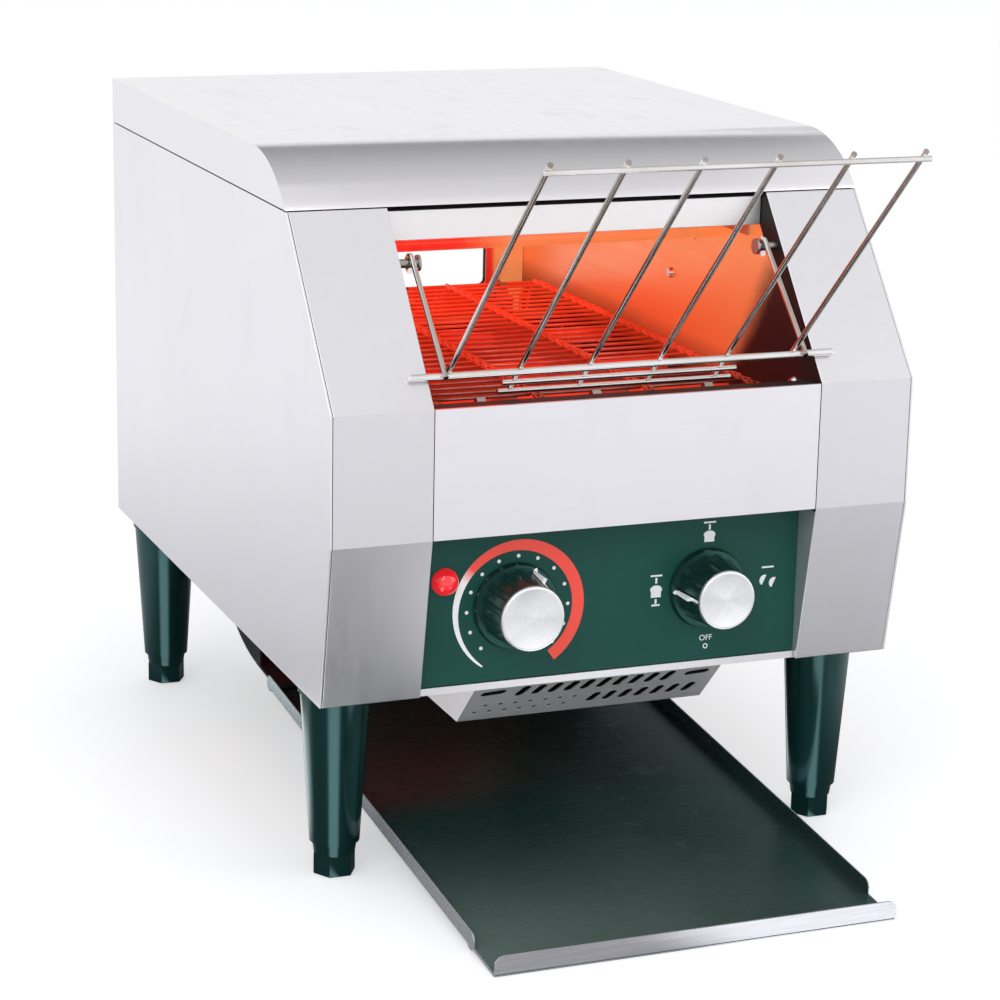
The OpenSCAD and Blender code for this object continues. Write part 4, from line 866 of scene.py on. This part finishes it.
def tube_bank(name, ys, z, node, glass_mat, steps=40):
    """Quartz tubes of one bank with a coiled wire in each, straight at its ends."""
    verts, faces, paths = [], [], []
    for y in ys:
        base = len(verts)
        for r, x in ((TUBE_R, -TUBE_X), (TUBE_R, TUBE_X), (BORE_R, TUBE_X), (BORE_R, -TUBE_X)):
            for i in range(steps):
                a = 2 * math.pi * i / steps
                verts.append(at(x, y + r * math.cos(a), z + r * math.sin(a)))
        for k in range(4):
            ring, following = base + k * steps, base + (k + 1) % 4 * steps
            for i in range(steps):
                j = (i + 1) % steps
                faces.append((ring + i, ring + j, following + j, following + i))
        coil = []
        for k in range(TURNS * PER_TURN + 1):
            a = 2 * math.pi * k / PER_TURN
            coil.append(at(-COIL_X + 2 * COIL_X * k / (TURNS * PER_TURN),
                           y + COIL_R * math.cos(a), z + COIL_R * math.sin(a)))
        leads = [at(x, y, z) for x in (-LEAD_END_X, -LEAD_X, LEAD_X, LEAD_END_X)]
        paths.append(leads[:2] + coil + leads[2:])
    glass = add_mesh(name + "_quartz", verts, faces, glass_mat)
    mend(glass, crease=35)
    coils = wires(name + "_coils", paths, radius=0.00045, material=coil_glow, resolution=1)
    for o in (glass, coils):
        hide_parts(node)


tube_bank("upper", [172 + 56 * i for i in range(4)], 330, "upper_heaters", quartz_glow)
tube_bank("lower", [120, 207.5, 295], 243, "lower_heaters", quartz_low)

# ------------------------------------------------------------------ welds of the rack


def rack_at(u, v, n):
    """Across the rack, up its slope and out of it."""
    return at(u, ROD_Y - v * math.cos(TILT) + n * math.sin(TILT),
              ROD_Z + v * math.sin(TILT) + n * math.cos(TILT))


def beads(name, places, size, material, body):
    """Flattened beads of weld: (place, stretch along the rack's axes)."""
    bm = bmesh.new()
    for p, stretch in places:
        m = Matrix.Translation(p) @ Matrix.Rotation(-TILT, 4, "X")
        m = m @ Matrix.Diagonal((*[size * k for k in stretch], 1))
        bmesh.ops.create_icosphere(bm, subdivisions=2, radius=1, matrix=m)
    me = bpy.data.meshes.new(name)
    bm.to_mesh(me)
    bm.free()
    return piece(name, me, material, body)


# Six wires across the two long rods, and the four inner ones across the two short rods below
rack_wires = [-101 + 202 * i / 5 for i in range(6)]
spots = []
for u in rack_wires:
    spots.append((rack_at(u, 0, 1.9), (1.35, 1.2, 0.9)))
    spots.append((rack_at(u, ROD_GAP, 1.8), (1.25, 1.1, 0.8)))
for u in rack_wires[1:5]:
    spots += [(rack_at(u, v, 1.8), (1.2, 1.1, 0.8)) for v in (-20, -11)]
weld = beads("rack_welds", spots, size=0.0012, material=chrome, body="rack")

# ------------------------------------------------------------------ turned caps of the knobs


def lathe(name, profile, centre, material, body, steps=96):
    """Turns (radius, height) points about the axis of a knob, with heights towards the front."""
    axis = Vector((0, -1, 0))
    side = axis.orthogonal().normalized()
    other = axis.cross(side)
    n = len(profile)
    verts, faces = [], []
    for i in range(steps):
        a = 2 * math.pi * i / steps
        d = side * math.cos(a) + other * math.sin(a)
        verts += [axis * h + d * r for r, h in profile]
    for i in range(steps):
        j = (i + 1) % steps
        faces += [(i * n + k, j * n + k, j * n + k + 1, i * n + k + 1) for k in range(n - 1)]
    # The back is closed; the face's middle closes on its axis
    faces.append(tuple(i * n for i in reversed(range(steps))))
    o = add_mesh(name, verts, faces, material, body, location=centre)
    mend(o, merge=True, crease=35)
    return o


for knob, cx, angle, skirt in KNOBS:
    outer, face = (skirt - 6.2) / 1000, (skirt - 6.8) / 1000
    profile = [(outer, 0.0254), (outer - 0.00012, 0.0262), (face + 0.00018, 0.02685), (face, 0.02696),
               (face - 0.0010, 0.02700), (face - 0.0014, 0.02692), (0.0040, 0.02680), (0.0020, 0.02684),
               (0.0, 0.02686)]
    cap = lathe(knob + "_cap_turned", profile, at(cx, PANEL_Y, KNOB_Z), cap_alu, knob + "_dial")
    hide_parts(knob + "_knob_cap")

# ------------------------------------------------------------------ camera and lights

cam_data = bpy.data.cameras.new("camera")
cam = bpy.data.objects.new("camera", cam_data)
bpy.context.scene.collection.objects.link(cam)
cam_data.sensor_width = 36
cam_data.lens = 104.683
cam_data.clip_start = 0.05
cam_data.clip_end = 50
# The photograph's camera, solved from points of the object
right = Vector((0.93083995, -0.36487712, 0.02004191))
up = Vector((0.07514956, 0.24481066, 0.96665417))
forward = Vector((0.35761646, 0.89829418, -0.25529990))
eye = at(-625.737, -1382.171, 614.572)
cam.matrix_world = Matrix((*zip(right, up, -forward, eye), (0, 0, 0, 1)))
bpy.context.scene.camera = cam


def area(name, where, target, size, power, colour=(1, 1, 1), size_y=None):
    d = bpy.data.lights.new(name, "AREA")
    d.energy = power
    d.color = colour
    d.size = size
    if size_y:
        d.shape = "RECTANGLE"
        d.size_y = size_y
    o = bpy.data.objects.new(name, d)
    bpy.context.scene.collection.objects.link(o)
    o.location = where
    o.rotation_mode = "QUATERNION"
    o.rotation_quaternion = (Vector(target) - Vector(where)).to_track_quat("-Z", "Y")


area("key", (-1.6, -1.9, 2.2), (0, 0, 0.2), size=1.8, power=20)
area("fill", (2.2, -1.4, 1.2), (0, 0, 0.2), size=1.6, power=8)
# Light of the heating tubes inside the chamber
area("glow_top", at(0, 260, 340), at(0, 260, 200), size=0.19, power=0.34, colour=(1.0, 0.07, 0.03),
     size_y=0.28)

# ------------------------------------------------------------------ world

WHITE = (1, 1, 1)
studio = bpy.data.worlds.new("studio")
bpy.context.scene.world = studio
w = Tree(studio, "Generated")
diffuse = w.fill(w.nodes["Background"], Color=(0.93, 0.94, 0.96), Strength=0.72)

# A dark board behind and above the object, fading forwards, gives the bend of the lid its shade
x, y, z = (w.axis(name) for name in "XYZ")
climb = w.math("ARCTAN2", z, y)
board = w.times(w.ease(climb, 0.39, 0.47), w.span(climb, 0.50, 2.25, 1.0, 0.0),
                w.ease(x, -0.25, 0.1), w.ease(x, 0.5, 0.75, 1.0, 0.0))
mirrored = w.node("Background", WHITE, w.span(board, 0.0, 1.0, 1.0, 0.30))

rays = w.node("LightPath").outputs
in_gloss = w.most(rays["Is Camera Ray"], w.most(rays["Is Glossy Ray"], rays["Is Transmission Ray"]))
lit = w.node("MixShader", in_gloss, diffuse.outputs[0], mirrored.outputs[0])
# The camera itself sees plain white
seen = w.node("MixShader", rays["Is Camera Ray"], lit.outputs[0], w.node("Background", WHITE).outputs[0])
w.put(w.nodes["World Output"].inputs["Surface"], seen.outputs[0])
bpy.context.scene.view_settings.view_transform = "Standard"

# ------------------------------------------------------------------ floor

f = Mat("studio_floor")
rays = f.node("LightPath").outputs
tone = f.mix(f.noise(30, 2, 0.5), (0.80, 0.80, 0.81), (0.82, 0.82, 0.83))

# Glossy parts see it dark close to the object, but for a bright lane in front of each leg,
# and brighter further out, as in a light tent. The front legs have more dark floor round them,
# the left one the most. LANE is the way that the lanes go.
LANE = (-0.37, -0.93, 0)
DARK_LEFT, DARK_RIGHT = 0.9, 0.25
reach = f.vector("LENGTH", f.coord)["Value"]
close = f.ease(reach, 0.26, 0.44, 0.9, 0.0)
lanes_lit = 0.0
for n in [n for n in nodes if n.startswith("leg_")]:
    lo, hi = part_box(n)
    away = f.vector("SUBTRACT", f.coord, ((lo[0] + hi[0]) / 2, (lo[1] + hi[1]) / 2, 0))["Vector"]
    gap = f.vector("LENGTH", away)["Value"]
    turn = f.vector("DOT_PRODUCT", f.vector("NORMALIZE", away)["Vector"], LANE)["Value"]
    if hi[1] < 0:
        depth = DARK_LEFT if lo[0] < 0 else DARK_RIGHT
        close = f.most(close, f.times(f.ease(gap, 0.34, 0.50, depth, 0.0), f.span(turn, 0.0, 0.2)))
    lanes_lit = f.most(lanes_lit, f.times(f.ease(turn, 0.91, 0.985), f.span(gap, 0.28, 0.34, 1.0, 0.0)))
close = f.times(close, f.minus(1.0, lanes_lit))
f.set(Base_Color=f.mix(f.times(close, rays["Is Glossy Ray"]), tone, (0.02, 0.02, 0.02)), Roughness=0.7)
bright_floor = f.plus(f.ease(reach, 0.45, 1.15, 0.0, 0.36), f.times(lanes_lit, 1.4))
glossy = f.node("Emission", None, f.times(rays["Is Glossy Ray"], bright_floor))

# The camera sees the floor lifted to white, with the object's shadow kept on it
lift = f.node("Emission", None, 0.42)
added = f.node("MixShader", rays["Is Camera Ray"], glossy.outputs[0], lift.outputs[0])
surface = f.node("AddShader", f.nodes["Principled BSDF"].outputs[0], added.outputs[0])
f.put(f.nodes["Material Output"].inputs["Surface"], surface.outputs[0])

# A hair under the feet
FLOOR_HALF, FLOOR_Z = 12.0, -0.0002
me = bpy.data.meshes.new("studio_floor")
corners = [(FLOOR_HALF * i, FLOOR_HALF * j, FLOOR_Z) for i, j in ((-1, -1), (1, -1), (1, 1), (-1, 1))]
me.from_pydata(corners, [], [(0, 1, 2, 3)])
me.materials.append(f.m)
floor = bpy.data.objects.new("studio_floor", me)
bpy.context.scene.collection.objects.link(floor)
